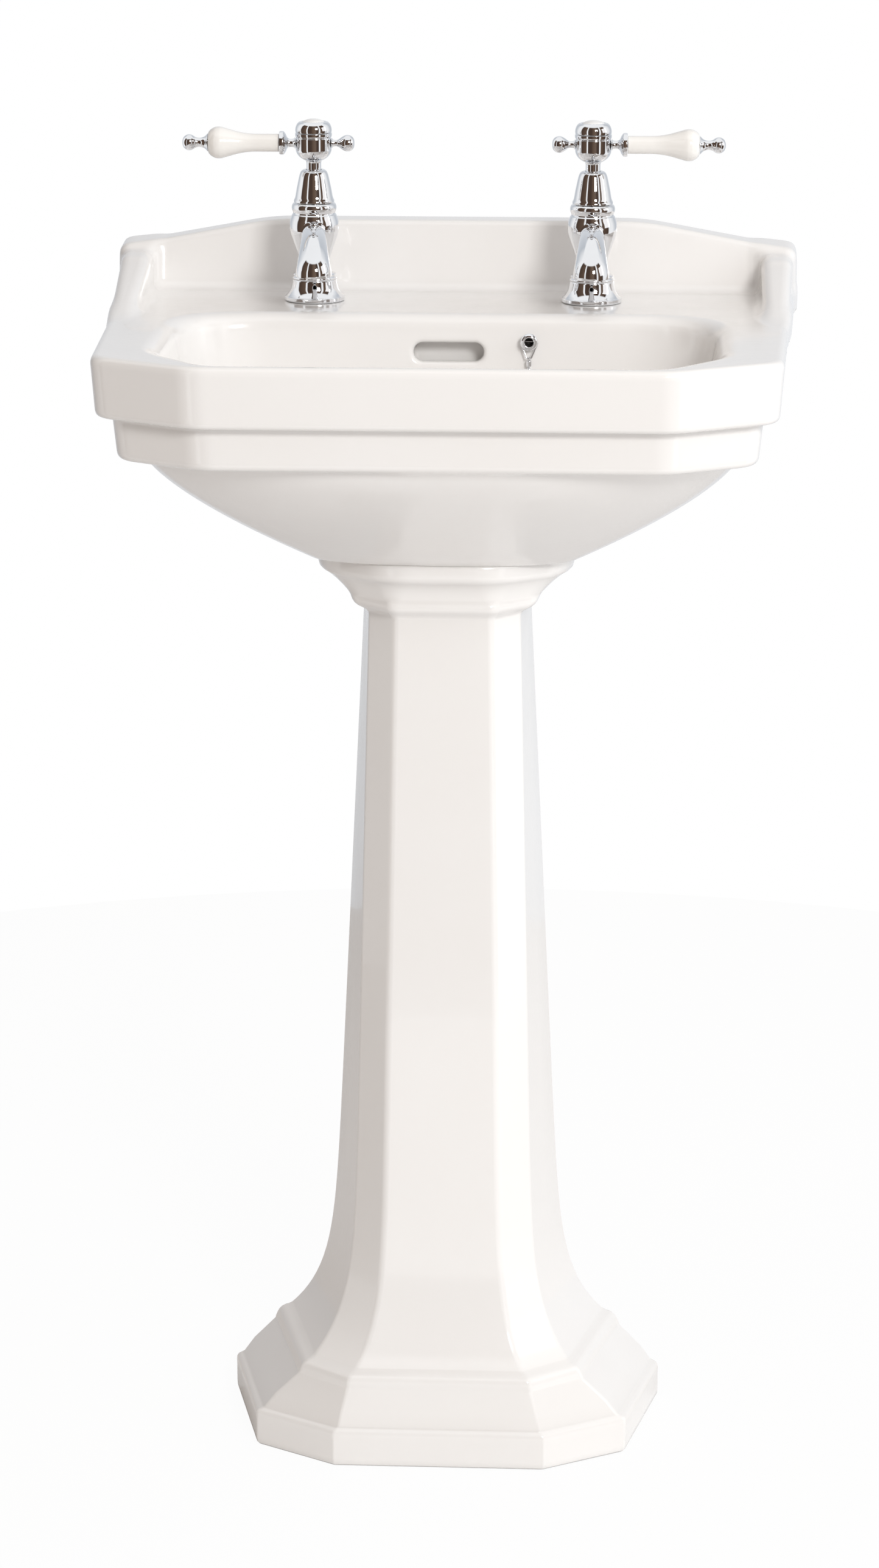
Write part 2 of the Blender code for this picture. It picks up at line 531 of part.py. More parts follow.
def make_handle(prefix, axis):
    """The turning pieces.  The long lever points along -X of the axis empty."""
    spindle = turned([(0, 0.0473), (0.0064, 0.0473), (0.0064, 0.0520), (SPINDLE_R, 0.0530),
                      (SPINDLE_R, SPINDLE_TOP), (0.0022, SPINDLE_TOP), (0.0022, 0.1030), (0, 0.1030)],
                     SMALL_STEPS)
    finish(spindle, prefix + "_spindle", BRASS, parent=axis)

    hub = turned([
        (SPINDLE_R + GAP, HUB_LOW), (0.0055, HUB_LOW), (0.0055, 0.1025), (0.0104, 0.1058),
        (HUB_R, 0.1100), (HUB_R, 0.1195), (0.0135, 0.1216), (0.0135, HUB_HIGH),
        (0.0100, HUB_HIGH), (0.0100, 0.1178), (0.0026, 0.1178),
        (0.0026, SPINDLE_TOP + GAP), (SPINDLE_R + GAP, SPINDLE_TOP + GAP),
    ], BODY_STEPS, ring=True)
    hub = finish(hub, prefix + "_handle_hub", CHROME, parent=axis)
    sockets = turned([(0, -0.0145), (0.0021, -0.0145), (0.0021, -0.0105), (0, -0.0105)], 12)
    long_socket = turned([(0, 0.0105), (0.0021, 0.0105), (0.0021, 0.0145), (0, 0.0145)], 12)
    lay = Matrix.Translation((0, 0, LEVER_H)) @ Matrix.Rotation(-math.pi / 2, 4, "Y")
    for bm, which in ((sockets, "_short_socket"), (long_socket, "_long_socket")):
        bm.transform(lay)
        combine(hub, helper(bm, prefix + which, axis), "DIFFERENCE")

    screw = turned([(0, 0.1045), (0.0019, 0.1045), (0.0019, 0.1181), (0.0045, 0.1181),
                    (0.0045, 0.1202), (0, 0.1202)], 12)
    finish(screw, prefix + "_handle_screw", STEEL, parent=axis)
    ring = turned([(0.0070, 0.1226), (0.0096, 0.1226), (0.0096, HUB_HIGH + GAP), (0.0128, HUB_HIGH + GAP),
                   (0.0130, 0.1260), (0.0100, 0.1310), (0.0086, 0.1306), (0.0086, 0.1290),
                   (0.0070, 0.1290)], BODY_STEPS, ring=True)
    finish(ring, prefix + "_index_ring", CHROME, parent=axis)
    disc = turned([(0, 0.1293), (0.0083, 0.1293), (0.0083, 0.1306), (0.0060, 0.1322), (0, 0.1332)],
                  BODY_STEPS)
    finish(disc, prefix + "_index_disc", DISC, parent=axis)

    def along_lever(bm, name, look, sign=1):
        """Lays a piece turned about Z down along the lever, its heights read from the axis."""
        flip = Matrix.Rotation(-math.pi / 2 * sign, 4, "Y")
        bm.transform(Matrix.Translation((0, 0, LEVER_H)) @ flip)
        finish(bm, name, look, parent=axis)

    start = HUB_R + GAP
    peg = 0.0112
    short = turned([(0, peg), (0.0018, peg), (0.0018, start), (0.0026, start), (0.0024, 0.0155),
                    (0.0034, 0.0180), (0.0054, 0.0210), (0.0060, 0.0240), (0.0050, 0.0275),
                    (0.0025, 0.0295), (0, 0.0300)], SMALL_STEPS)
    along_lever(short, prefix + "_short_arm", CHROME, -1)
    rod = turned([(0, peg), (0.0018, peg), (0.0018, start), (0.0034, start), (0.0030, 0.0160),
                  (0.0032, 0.0195), (0.0062, 0.0208), (0.0084, 0.0223), (0.0084, 0.0250),
                  (0.0020, 0.0250), (0.0020, 0.0815), (0, 0.0815)], SMALL_STEPS)
    along_lever(rod, prefix + "_lever_rod", CHROME)
    grip = turned([(0.0024, 0.0253), (0.0065, 0.0253), (0.0066, 0.0430), (0.0092, 0.0610),
                   (0.0116, 0.0690), (0.0102, 0.0745), (0.0070, 0.0775), (0.0024, 0.0775)], 16, ring=True)
    along_lever(grip, prefix + "_lever_grip", PORCELAIN)
    tip = turned([(0, 0.0820), (0.0023, 0.0820), (0.0023, 0.0778), (0.0068, 0.0778),
                  (0.0036, 0.0825), (0.0034, 0.0850), (0.0058, 0.0905), (0.0036, 0.0960),
                  (0, 0.0966)], SMALL_STEPS)
    along_lever(tip, prefix + "_lever_tip", CHROME)


def make_tap(prefix, sign):
    place = (sign * TAP_X, TAP_Y, RIM_Z)
    stand = empty(prefix + "_tap_stand", place)
    if sign < 0:
        stand.rotation_euler = (0, 0, HOT_TAP_TURN)
    axis = empty(prefix + "_handle_axis", place)
    if sign > 0:
        axis.rotation_euler = (0, 0, math.pi)
    make_tap_body(prefix + "_tap_body", stand)
    make_tap_fixings(prefix, stand)
    make_headwork(prefix, stand)
    make_bonnet(prefix, stand)
    make_handle(prefix, axis)


# ---- Waste, plug and trap ----------------------------------------------------------------------
FLANGE_TOP = BOWL_FLOOR_Z + 0.0040
PLUG_TOP = FLANGE_TOP - 0.0010


def make_waste():
    at = (0, WASTE_Y, 0)
    finish(tube_ring(WASTE_HOLE_R - 0.0006, 0.0255, BOWL_FLOOR_Z + GAP, BOWL_FLOOR_Z + 0.0015),
           "waste_seal", RUBBER, at)
    low = BOWL_FLOOR_Z + 0.0015 + GAP
    waste = finish(turned([
        (0.0165, 0.6300), (WASTE_R, 0.6300), (WASTE_R, low), (0.0285, low), (0.0285, low + 0.0008),
        (0.0265, FLANGE_TOP), (0.0225, FLANGE_TOP - 0.0004), (0.0190, FLANGE_TOP - 0.0025),
        (0.0180, FLANGE_TOP - 0.0090), (0.0165, FLANGE_TOP - 0.0120),
    ], BODY_STEPS, ring=True), "waste_body", CHROME, at)
    slots = helper(box((-0.0090, -0.0300, 0.6725), (0.0090, 0.0300, 0.6805)), "waste_slots")
    slots.location = at
    combine(waste, slots, "DIFFERENCE")
    finish(tube_ring(WASTE_R + 0.0004, 0.0280, BOSS_Z - 0.0030, BOSS_Z - GAP), "waste_washer",
           RUBBER, at)
    top = BOSS_Z - 0.0030 - GAP
    finish(hexagon(0.0285, top - 0.008, top, WASTE_R + GAP), "waste_backnut", BRASS, at)


def make_plug():
    at = (0, WASTE_Y, 0)
    plug = turned([
        (0, PLUG_TOP - 0.0105), (0.0155, PLUG_TOP - 0.0105), (0.0168, PLUG_TOP - 0.0095),
        (0.0182, PLUG_TOP - 0.0020), (0.0194, PLUG_TOP - 0.0006), (0.0186, PLUG_TOP),
        (0.0050, PLUG_TOP + 0.0012), (0.0050, PLUG_TOP - 0.0040), (0, PLUG_TOP - 0.0040),
    ], BODY_STEPS)
    finish(plug, "plug", RUBBER, at)
    eye = finish(turned([
        (0, PLUG_TOP - 0.0036), (0.0046, PLUG_TOP - 0.0036), (0.0046, PLUG_TOP + 0.0018),
        (0.0034, PLUG_TOP + 0.0030), (0.0030, PLUG_TOP + 0.0080), (0.0016, PLUG_TOP + 0.0094),
        (0, PLUG_TOP + 0.0096)], 12), "plug_eye", CHROME, at)
    hole = turned([(0, -0.006), (0.0014, -0.006), (0.0014, 0.006), (0, 0.006)], 10)
    hole.transform(Matrix.Translation((0, 0, PLUG_TOP + 0.0062)) @ Matrix.Rotation(math.pi / 2, 4, "X"))
    hole = helper(hole, "plug_eye_hole")
    hole.location = at
    combine(eye, hole, "DIFFERENCE")
    reach = 0.0048
    turns = [2 * math.pi * k / 14 for k in range(14)]
    ring = [(reach + reach * math.cos(a), reach * 1.25 * math.sin(a), PLUG_TOP + 0.0062) for a in turns]
    finish(swept(ring, [0.0007] * len(ring), 6, closed=True), "plug_ring", CHROME, at)


def make_stay():
    """Chain stay on the bowl's back wall: a stud with a domed eye, a washer and a nut behind."""
    lean = 0.0386
    at = (STAY_X, lean, STAY_Z)
    lay = Matrix.Rotation(math.pi / 2, 4, "X")
    stud = turned([
        (0, -0.0240), (0.0028, -0.0240), (0.0028, 0.0009), (0.0046, 0.0009), (0.0046, 0.0018),
        (0.0030, 0.0022), (0.0030, 0.0050), (0.0056, 0.0052), (0.0061, 0.0070), (0.0042, 0.0092),
        (0.0028, 0.0088), (0.0026, 0.0072), (0, 0.0068)], SMALL_STEPS)
    stud.transform(lay)
    stud = finish(stud, "chain_stay_stud", CHROME, at)
    cross = turned([(0, -0.005), (0.0010, -0.005), (0.0010, 0.005), (0, 0.005)], 10)
    cross.transform(Matrix.Translation((0, -0.0036, 0)) @ Matrix.Rotation(math.pi / 2, 4, "Y"))
    cross = helper(cross, "chain_stay_cross_hole")
    cross.location = at
    combine(stud, cross, "DIFFERENCE")
    washer = tube_ring(0.0031, 0.0056, 0.0, 0.0010, SMALL_STEPS)
    washer.transform(lay)
    finish(washer, "chain_stay_washer", PLASTIC, (STAY_X, 0.052 + 0.0010 + GAP, STAY_Z))
    nut = hexagon(0.0052, 0.0, 0.0035, 0.0031)
    nut.transform(lay)
    finish(nut, "chain_stay_nut", BRASS, (STAY_X, 0.052 + 0.0010 + 2 * GAP + 0.0035, STAY_Z))

    half, drop, foot = 0.0068, 0.0122, 0.0016
    corners = [(half, 0.0), (-half, 0.0), (-foot, -drop), (foot, -drop)]
    outline = rounded(corners, 0.0014, 2)
    wire = [(p.x, -0.0036 - 0.18 * abs(p.y), p.y) for p in outline]
    finish(swept(wire, [0.0006] * len(wire), 6, closed=True), "chain_stay_link", CHROME, at)


def make_trap():
    """A bottle trap hangs from the waste, inside the pedestal, and its outlet runs to the wall."""
    at = (0, WASTE_Y, 0)
    finish(tube_ring(0.0168, 0.0205, 0.6275, 0.6297), "trap_washer", RUBBER, at)
    finish(turned([
        (WASTE_R + GAP, 0.6420), (WASTE_R + GAP, 0.6235), (0.0180, 0.6235), (0.0180, 0.6205),
        (0.0222, 0.6205), (0.0238, 0.6225), (0.0238, 0.6420)], BODY_STEPS, ring=True),
        "trap_inlet_nut", PLASTIC, at)
    body = finish(turned([
        (0.0145, 0.6270), (0.0145, 0.5050), (0.0163, 0.5050), (0.0163, 0.5950), (0.0215, 0.5950),
        (0.0215, 0.5400), (0.0242, 0.5400), (0.0242, 0.6020), (0.0175, 0.6110), (0.0175, 0.6238),
        (0.0205, 0.6238), (0.0205, 0.6270)], BODY_STEPS, ring=True), "trap_body", PLASTIC, at)
    arm_z = 0.5750
    lay = Matrix.Translation((0, 0, arm_z)) @ Matrix.Rotation(-math.pi / 2, 4, "X")
    arm = turned([(0, 0.0225), (0.0182, 0.0225), (0.0182, 0.0520), (0, 0.0520)], 20)
    arm.transform(lay)
    arm = helper(arm, "trap_arm")
    arm.location = at
    combine(body, arm, "UNION")
    way = turned([(0, 0.0190), (0.0162, 0.0190), (0.0162, 0.0600), (0, 0.0600)], 20)
    way.transform(lay)
    way = helper(way, "trap_waterway")
    way.location = at
    combine(body, way, "DIFFERENCE")
    finish(turned([
        (0, 0.4800), (0.0190, 0.4800), (0.0238, 0.4860), (0.0238, 0.5397), (0.0208, 0.5397),
        (0.0208, 0.4880), (0.0170, 0.4835), (0, 0.4835)], BODY_STEPS), "trap_cup", PLASTIC, at)
    nut = turned([(0.0185, 0.0400), (0.0222, 0.0400), (0.0222, 0.0600), (0.0165, 0.0600),
                  (0.0165, 0.0525), (0.0185, 0.0525)], BODY_STEPS, ring=True)
    nut.transform(lay)
    finish(nut, "trap_outlet_nut", PLASTIC, at)
    pipe = tube_ring(0.0138, 0.0159, 0.0480, WALL_Y - WASTE_Y, 20)
    pipe.transform(lay)
    finish(pipe, "waste_pipe", PLASTIC, at)


# ---- Ball chain --------------------------------------------------------------------------------
CHAIN_R = 0.0016
CHAIN_PITCH = 0.0072         # spacing of the points along the cord
CHAIN_SLACK = [  # from the stay down the back of the bowl, then in a loose loop over its floor
    (0.0585, 0.0332, 0.8056), (0.0584, 0.0333, 0.7880), (0.0578, 0.0328, 0.7700),
    (0.0570, 0.0320, 0.7520), (0.0560, 0.0309, 0.7350), (0.0552, 0.0296, 0.7190),
    (0.0552, 0.0262, 0.7060), (0.0590, 0.0180, 0.6976), (0.0700, 0.0090, 0.6972),
    (0.0880, 0.0040, 0.7014), (0.1050, -0.0040, 0.7058), (0.1110, -0.0190, 0.7084),
    (0.1000, -0.0310, 0.7042), (0.0820, -0.0320, 0.6996), (0.0630, -0.0250, 0.6958),
    (0.0440, -0.0140, 0.6930),
]
CHAIN_TAIL = [  # on over the waste's flange to the plug
    (0.0434, -0.0137, 0.6930), (0.0380, -0.0112, 0.6936), (0.0325, -0.0088, 0.6955),
    (0.0270, -0.0064, 0.6971), (0.0220, -0.0046, 0.6982), (0.0173, -0.0040, 0.6990),
]
CLASP = [(0, 0.0), (0.0012, 0.0), (0.0019, 0.0008), (0.0019, 0.0040), (0.0012, 0.0048), (0, 0.0048)]


def chain_curve(name, route, spacing):
    """A smooth cord through the route's own points."""
    points = [Vector(p) for p in route]
    line = []
    for i in range(len(points) - 1):
        a, b = points[max(i - 1, 0)], points[i]
        c, d = points[i + 1], points[min(i + 2, len(points) - 1)]
        steps = max(1, round((c - b).length / spacing))
        for k in range(steps):
            t = k / steps
            line.append(0.5 * (2 * b + (c - a) * t + (2 * a - 5 * b + 4 * c - d) * t * t
                               + (3 * b - a - 3 * c + d) * t ** 3))
    line.append(points[-1])
    data = bpy.data.curves.new(name, "CURVE")
    data.dimensions = "3D"
    data.bevel_depth = CHAIN_R
    data.bevel_resolution = 2
    data.use_fill_caps = True
    spline = data.splines.new("POLY")
    spline.points.add(len(line) - 1)
    for spot, point in zip(spline.points, line):
        spot.co = (*point, 1)
    data.materials.append(CHROME)
    made = bpy.data.objects.new(name, data)
    bpy.context.collection.objects.link(made)
    return made


def make_chain():
    chain_curve("chain_slack", CHAIN_SLACK, CHAIN_PITCH)
    chain_curve("chain_tail", CHAIN_TAIL, CHAIN_PITCH)
    x, y, z = CHAIN_SLACK[0]
    finish(turned(CLASP, 10), "chain_top_clasp", CHROME, (x, y, z + GAP))
    x, y, z = CHAIN_TAIL[-1]
    end = turned([(r, 1.2 * h) for r, h in CLASP], 10)
    end.transform(Matrix.Rotation(-math.pi / 2, 4, "Y"))
    finish(end, "chain_end_clasp", CHROME, (x - GAP, y, z))


make_basin()
make_pedestal()
make_tap("hot", -1)
make_tap("cold", 1)
make_waste()
make_plug()
make_stay()
make_trap()
make_chain()
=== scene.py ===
import json
import math

import bmesh
import bpy
import numpy as np
from mathutils import Matrix, Vector


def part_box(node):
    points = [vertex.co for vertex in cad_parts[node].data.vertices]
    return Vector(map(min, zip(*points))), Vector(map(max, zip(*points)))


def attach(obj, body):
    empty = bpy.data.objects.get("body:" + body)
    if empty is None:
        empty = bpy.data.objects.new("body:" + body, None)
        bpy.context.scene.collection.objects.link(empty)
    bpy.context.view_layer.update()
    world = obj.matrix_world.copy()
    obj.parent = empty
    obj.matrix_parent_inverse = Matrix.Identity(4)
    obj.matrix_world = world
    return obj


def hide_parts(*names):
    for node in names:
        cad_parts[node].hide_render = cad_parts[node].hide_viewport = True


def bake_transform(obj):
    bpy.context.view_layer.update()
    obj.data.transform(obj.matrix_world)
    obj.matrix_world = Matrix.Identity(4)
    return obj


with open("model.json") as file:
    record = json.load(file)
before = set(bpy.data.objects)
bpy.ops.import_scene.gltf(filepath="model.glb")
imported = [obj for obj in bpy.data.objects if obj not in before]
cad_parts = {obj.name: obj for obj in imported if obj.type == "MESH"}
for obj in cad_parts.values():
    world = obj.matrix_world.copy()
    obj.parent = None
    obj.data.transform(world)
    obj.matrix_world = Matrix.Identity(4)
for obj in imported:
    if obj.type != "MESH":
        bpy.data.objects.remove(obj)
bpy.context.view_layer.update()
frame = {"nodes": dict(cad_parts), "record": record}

# ---- Sizes, in metres.  X = 0 is the plane of symmetry, -Y is the user's side, Z = 0 the floor ----
GAP = 0.0003                 # between pieces that nearly touch
WALL_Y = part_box("basin")[1].y
UPSTAND_TOP_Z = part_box("basin")[1].z
RIM_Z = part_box("hot_deck_washer")[0].z - GAP
RIM_FRONT_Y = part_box("basin")[0].y
RIM_FRONT_X = 0.1635
RIM_SIDE_X, RIM_SIDE_Y = 0.2355, -0.155
RIM_BACK_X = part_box("basin")[1].x
BAND_1_Z, BAND_2_Z = 0.799, 0.768
BAND_TAPER, BAND_STEP = 0.0030, 0.0110
BELLY_HALF_X, BELLY_FRONT_Y, BELLY_BACK_Y, BELLY_CURVE = 0.2105, -0.172, 0.085, 1.386
SEAT_Z, SEAT_HALF_X, SEAT_FRONT_Y = 0.677, 0.0945, -0.056
BOWL_FLOOR_Z = 0.690
UPSTAND_FRONT_Y, UPSTAND_FLAT_X, SHOULDER_Z = 0.160, 0.140, 0.8745
WING_INNER_X = 0.2285
TAP_X, TAP_Y = 0.1025, 0.108
TAIL_R = 0.0104
HOT_TAP_TURN = math.radians(4)
LEVER_H = 0.1154             # heights on the tap are above the deck
WASTE_Y = -0.004
FLANGE_TOP = BOWL_FLOOR_Z + 0.004
PLUG_TOP = FLANGE_TOP - 0.001
STAY = (0.0585, 0.0386, 0.8240)


def linked(name, data):
    made = bpy.data.objects.new(name, data)
    bpy.context.collection.objects.link(made)
    return made


def at(x, y, z):
    return Matrix.Translation((x, y, z))


def spun(angle, axis):
    return Matrix.Rotation(angle, 4, axis)


# ---- Camera ----
def make_camera():
    data = bpy.data.cameras.new("camera")
    data.sensor_width = 36.0
    data.lens = 88.04
    data.clip_start, data.clip_end = 0.1, 60.0
    camera = linked("camera", data)
    camera.location = (0.12852, -2.71872, 1.2699)
    camera.rotation_euler = (math.radians(90 - 15.78), math.radians(-0.03), math.radians(2.81))
    bpy.context.scene.camera = camera


# ---- Materials ----
def noise(tree, scale, detail=2.0):
    """A noise value in the piece's own coordinates, where a scale of 1000 repeats each mm."""
    place = tree.nodes.new("ShaderNodeTexCoord")
    made = tree.nodes.new("ShaderNodeTexNoise")
    made.inputs["Scale"].default_value = scale
    made.inputs["Detail"].default_value = detail
    tree.links.new(place.outputs["Object"], made.inputs["Vector"])
    return made.outputs["Fac"]


def spread(tree, value, low, high, from_low=0.3, from_high=0.7, kind="LINEAR"):
    made = tree.nodes.new("ShaderNodeMapRange")
    made.interpolation_type = kind
    made.inputs["From Min"].default_value = from_low
    made.inputs["From Max"].default_value = from_high
    made.inputs["To Min"].default_value = low
    made.inputs["To Max"].default_value = high
    tree.links.new(value, made.inputs["Value"])
    return made.outputs["Result"]


def feed(tree, socket, value):
    """Gives a socket a number, a colour or another node's output."""
    if isinstance(value, float):
        socket.default_value = value
    elif isinstance(value, tuple):
        socket.default_value = (*value, 1.0)
    else:
        tree.links.new(value, socket)


def mixed(tree, share, first, second):
    made = tree.nodes.new("ShaderNodeMix")
    made.data_type = "RGBA"
    tree.links.new(share, made.inputs["Factor"])
    feed(tree, made.inputs[6], first)
    feed(tree, made.inputs[7], second)
    return made.outputs[2]


def maths(tree, kind, first, second):
    made = tree.nodes.new("ShaderNodeMath")
    made.operation = kind
    feed(tree, made.inputs[0], first)
    feed(tree, made.inputs[1], second)
    return made.outputs[0]


def joined(tree, share, first, second):
    made = tree.nodes.new("ShaderNodeMixShader")
    for socket, value in zip(made.inputs, (share, first, second)):
        tree.links.new(value, socket)
    return made.outputs[0]


def material(name, colour, other, patch, rough, bump, grain, metallic=0.0, coat=0.0, pooled=None):
    """Two close colours in patches, a roughness range, and a fine bump.  Where a shade colour is
    given, the colour darkens towards it in the hollows: painted shade."""
    made = bpy.data.materials.new(name)
    made.use_nodes = True
    tree = made.node_tree
    shader = tree.nodes["Principled BSDF"]
    shader.inputs["Metallic"].default_value = metallic
    shader.inputs["Coat Weight"].default_value = coat
    shader.inputs["Coat Roughness"].default_value = 0.02
    share = spread(tree, noise(tree, patch), 0.0, 1.0)
    base = mixed(tree, share, colour, other)
    if pooled:
        # Painted shade: the base colour darkens towards the shade colour where the surface is hollow.
        shape = tree.nodes.new("ShaderNodeNewGeometry")
        hollow = spread(tree, shape.outputs["Pointiness"], 1.0, 0.0, 0.42, 0.50)
        base = mixed(tree, hollow, base, pooled)
    tree.links.new(base, shader.inputs["Base Color"])
    tree.links.new(spread(tree, noise(tree, patch * 3.0, 4.0), *rough), shader.inputs["Roughness"])
    relief = tree.nodes.new("ShaderNodeBump")
    relief.inputs["Distance"].default_value = bump
    tree.links.new(noise(tree, grain, 1.0), relief.inputs["Height"])
    tree.links.new(relief.outputs["Normal"], shader.inputs["Normal"])
    return made


def make_materials():
    """Two colours, patch scale, roughness range, bump in metres, grain scale, and what else."""
    rows = {
        # The china's last colour is painted shade, darkening its hollows.
        "glazed_china": ((0.895, 0.882, 0.868), (0.883, 0.867, 0.850), 9.0, (0.12, 0.20), 0.00003,
            260.0, {"coat": 0.45, "pooled": (0.80, 0.775, 0.75)}),
        "chrome": ((0.84, 0.85, 0.87), (0.81, 0.82, 0.84), 60.0, (0.02, 0.05), 0.0000005, 900.0,
            {"metallic": 1.0}),
        "cream_porcelain": ((0.93, 0.915, 0.885), (0.915, 0.895, 0.86), 30.0, (0.09, 0.16), 0.00002,
            500.0, {"coat": 0.6}),
        "index_ceramic": ((0.92, 0.92, 0.91), (0.89, 0.89, 0.88), 90.0, (0.08, 0.14), 0.00001, 700.0,
            {"coat": 0.6}),
        "brass": ((0.72, 0.53, 0.24), (0.60, 0.43, 0.19), 120.0, (0.22, 0.42), 0.00002, 2500.0,
            {"metallic": 1.0}),
        "valve_ceramic": ((0.88, 0.87, 0.84), (0.84, 0.83, 0.80), 200.0, (0.20, 0.32), 0.000006,
            2500.0, {}),
        "black_rubber": ((0.022, 0.022, 0.023), (0.040, 0.039, 0.038), 160.0, (0.48, 0.70), 0.00005,
            1800.0, {}),
        "white_plastic": ((0.84, 0.84, 0.82), (0.80, 0.80, 0.78), 70.0, (0.30, 0.44), 0.00003,
            1400.0, {}),
        "screw_steel": ((0.60, 0.61, 0.62), (0.50, 0.51, 0.52), 300.0, (0.20, 0.36), 0.00002, 3000.0,
            {"metallic": 1.0}),
        # Near black: painted shade for the inside of the chain stay's hole.
        "painted_shade_well": ((0.030, 0.026, 0.024), (0.016, 0.014, 0.013), 300.0, (0.35, 0.50), 0.00001,
            2000.0, {}),
        "pale_floor": ((0.90, 0.90, 0.90), (0.885, 0.885, 0.885), 3.0, (0.55, 0.65), 0.0002, 60.0, {}),
    }
    return {name: material(name, *row, **more) for name, (*row, more) in rows.items()}


# ---- Placing pieces ----
MATERIAL_OF = {s["node"]: s["material_slot"] for s in frame["record"]["subparts"]}
BODY_OF = {n: b for b, nodes in frame["record"]["behaviour"]["bodies"].items() for n in nodes}


def piece(node, mesh, smooth=True, weighted=True):
    """A fine mesh in the row frame that stands for one CAD node."""
    made = linked(node + "_fine", mesh)
    if smooth:
        mesh.shade_smooth()
    mesh.materials.clear()
    mesh.materials.append(LOOKS[MATERIAL_OF[node]])
    if weighted:
        modifier = made.modifiers.new("even_shading", "WEIGHTED_NORMAL")
        modifier.keep_sharp = True
    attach(made, BODY_OF[node])
    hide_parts(node)
    return made


def mesh_of(bm, name):
    bmesh.ops.remove_doubles(bm, verts=bm.verts, dist=1e-6)
    bmesh.ops.recalc_face_normals(bm, faces=bm.faces)
    mesh = bpy.data.meshes.new(name)
    bm.to_mesh(mesh)
    bm.free()
    return mesh


def moved(bm, matrix):
    bm.transform(matrix)
    return bm


def part(place, node, bm, sharp=None):
    """Puts a bmesh in its place as a piece.  Edges that turn by more than sharp degrees stay crisp."""
    mesh = mesh_of(moved(bm, place), node)
    if sharp:
        mesh.shade_smooth()
        mesh.set_sharp_from_angle(angle=math.radians(sharp))
    piece(node, mesh)


def block(matrix):
    made = bmesh.new()
    bmesh.ops.create_cube(made, size=1.0)
    return moved(made, matrix)


def combined(first, second, operation):
    """The mesh of a Boolean between two closed bmeshes."""
    pair = []
    for bm in (first, second):
        made = linked("shape", mesh_of(bm, "shape"))
        pair.append(made)
    cut = pair[0].modifiers.new("cut", "BOOLEAN")
    cut.object = pair[1]
    cut.operation = operation
    graph = bpy.context.evaluated_depsgraph_get()
    result = bmesh.new()
    result.from_mesh(pair[0].evaluated_get(graph).to_mesh())
    for made in pair:
        bpy.data.objects.remove(made, do_unlink=True)
    return result


# ---- Turned shapes ----
def bow(points, per=6):
    """Points on a smooth curve through the given ones."""
    rows = [Vector(p) for p in points]
    ends = [2 * rows[0] - rows[1]] + rows + [2 * rows[-1] - rows[-2]]
    made = []
    for a, b, c, d in zip(ends, ends[1:], ends[2:], ends[3:]):
        for k in range(per):
            t = k / per
            made.append(0.5 * (2 * b + (c - a) * t + (2 * a - 5 * b + 4 * c - d) * t * t
                               + (3 * b - a - 3 * c + d) * t ** 3))
    return [tuple(p) for p in made] + [tuple(rows[-1])]


def eased(profile, radius, ring, steps=4):
    """Rounds each corner of a profile that turns by more than a few degrees."""
    rows = [Vector(p) for p in profile]
    made = []
    for i, here in enumerate(rows):
        if not ring and i in (0, len(rows) - 1):
            made.append(here)
            continue
        back, ahead = rows[i - 1] - here, rows[(i + 1) % len(rows)] - here
        turn = math.pi - back.angle(ahead)
        if turn < math.radians(16):
            made.append(here)
            continue
        reach = min(radius * math.tan(turn / 2), 0.42 * back.length, 0.42 * ahead.length)
        start, end = here + back.normalized() * reach, here + ahead.normalized() * reach
        for k in range(steps + 1):
            t = k / steps
            made.append(start * (1 - t) ** 2 + here * 2 * t * (1 - t) + end * t * t)
    return made


def turned(profile, radius=0.0004, steps=56):
    """A turned solid about Z.  A profile that starts off the axis is a ring, and closes on itself."""
    bm = bmesh.new()
    ring = profile[0][0] > 0
    points = eased(profile, radius, ring)
    rows = []
    for p in points:
        if p.x < 1e-7:
            rows.append([bm.verts.new((0, 0, p.y))])
            continue
        rows.append([bm.verts.new((p.x * math.cos(2 * math.pi * k / steps),
                                   p.x * math.sin(2 * math.pi * k / steps), p.y))
                     for k in range(steps)])
    pairs = list(zip(rows, rows[1:])) + ([(rows[-1], rows[0])] if ring else [])
    for low, high in pairs:
        for k in range(steps):
            j = (k + 1) % steps
            if len(low) == 1 and len(high) == 1:
                break
            if len(low) == 1:
                bm.faces.new((low[0], high[j], high[k]))
            elif len(high) == 1:
                bm.faces.new((low[k], low[j], high[0]))
            else:
                bm.faces.new((low[k], low[j], high[j], high[k]))
    bmesh.ops.recalc_face_normals(bm, faces=bm.faces)
    return bm


def rod(radius, low, high, ease, steps):
    return turned([(0, low), (radius, low), (radius, high), (0, high)], ease, steps)


def tube(inner, outer, low, high, ease, steps=56):
    return turned([(inner, low), (outer, low), (outer, high), (inner, high)], ease, steps)


def swept(path, radii, steps=32, closed=False):
    """A round bar along a smooth path, with a radius at each point."""
    bm = bmesh.new()
    points = [Vector(p) for p in path]
    count = len(points)
    rows = []
    side = None
    for i, point in enumerate(points):
        if closed:
            along = points[(i + 1) % count] - points[i - 1]
        else:
            along = points[min(i + 1, count - 1)] - points[max(i - 1, 0)]
        along.normalize()
        if side is None:
            side = along.orthogonal().normalized()
        side = (side - along * side.dot(along)).normalized()
        up = along.cross(side)
        rows.append([bm.verts.new(point + (side * math.cos(a) + up * math.sin(a)) * radii[i])
                     for a in (2 * math.pi * k / steps for k in range(steps))])
    for i in range(count if closed else count - 1):
        low, high = rows[i], rows[(i + 1) % count]
        for k in range(steps):
            j = (k + 1) % steps
            bm.faces.new((low[k], low[j], high[j], high[k]))
    if not closed:
        bm.faces.new(rows[0])
        bm.faces.new(rows[-1])
    bmesh.ops.recalc_face_normals(bm, faces=bm.faces)
    return bm


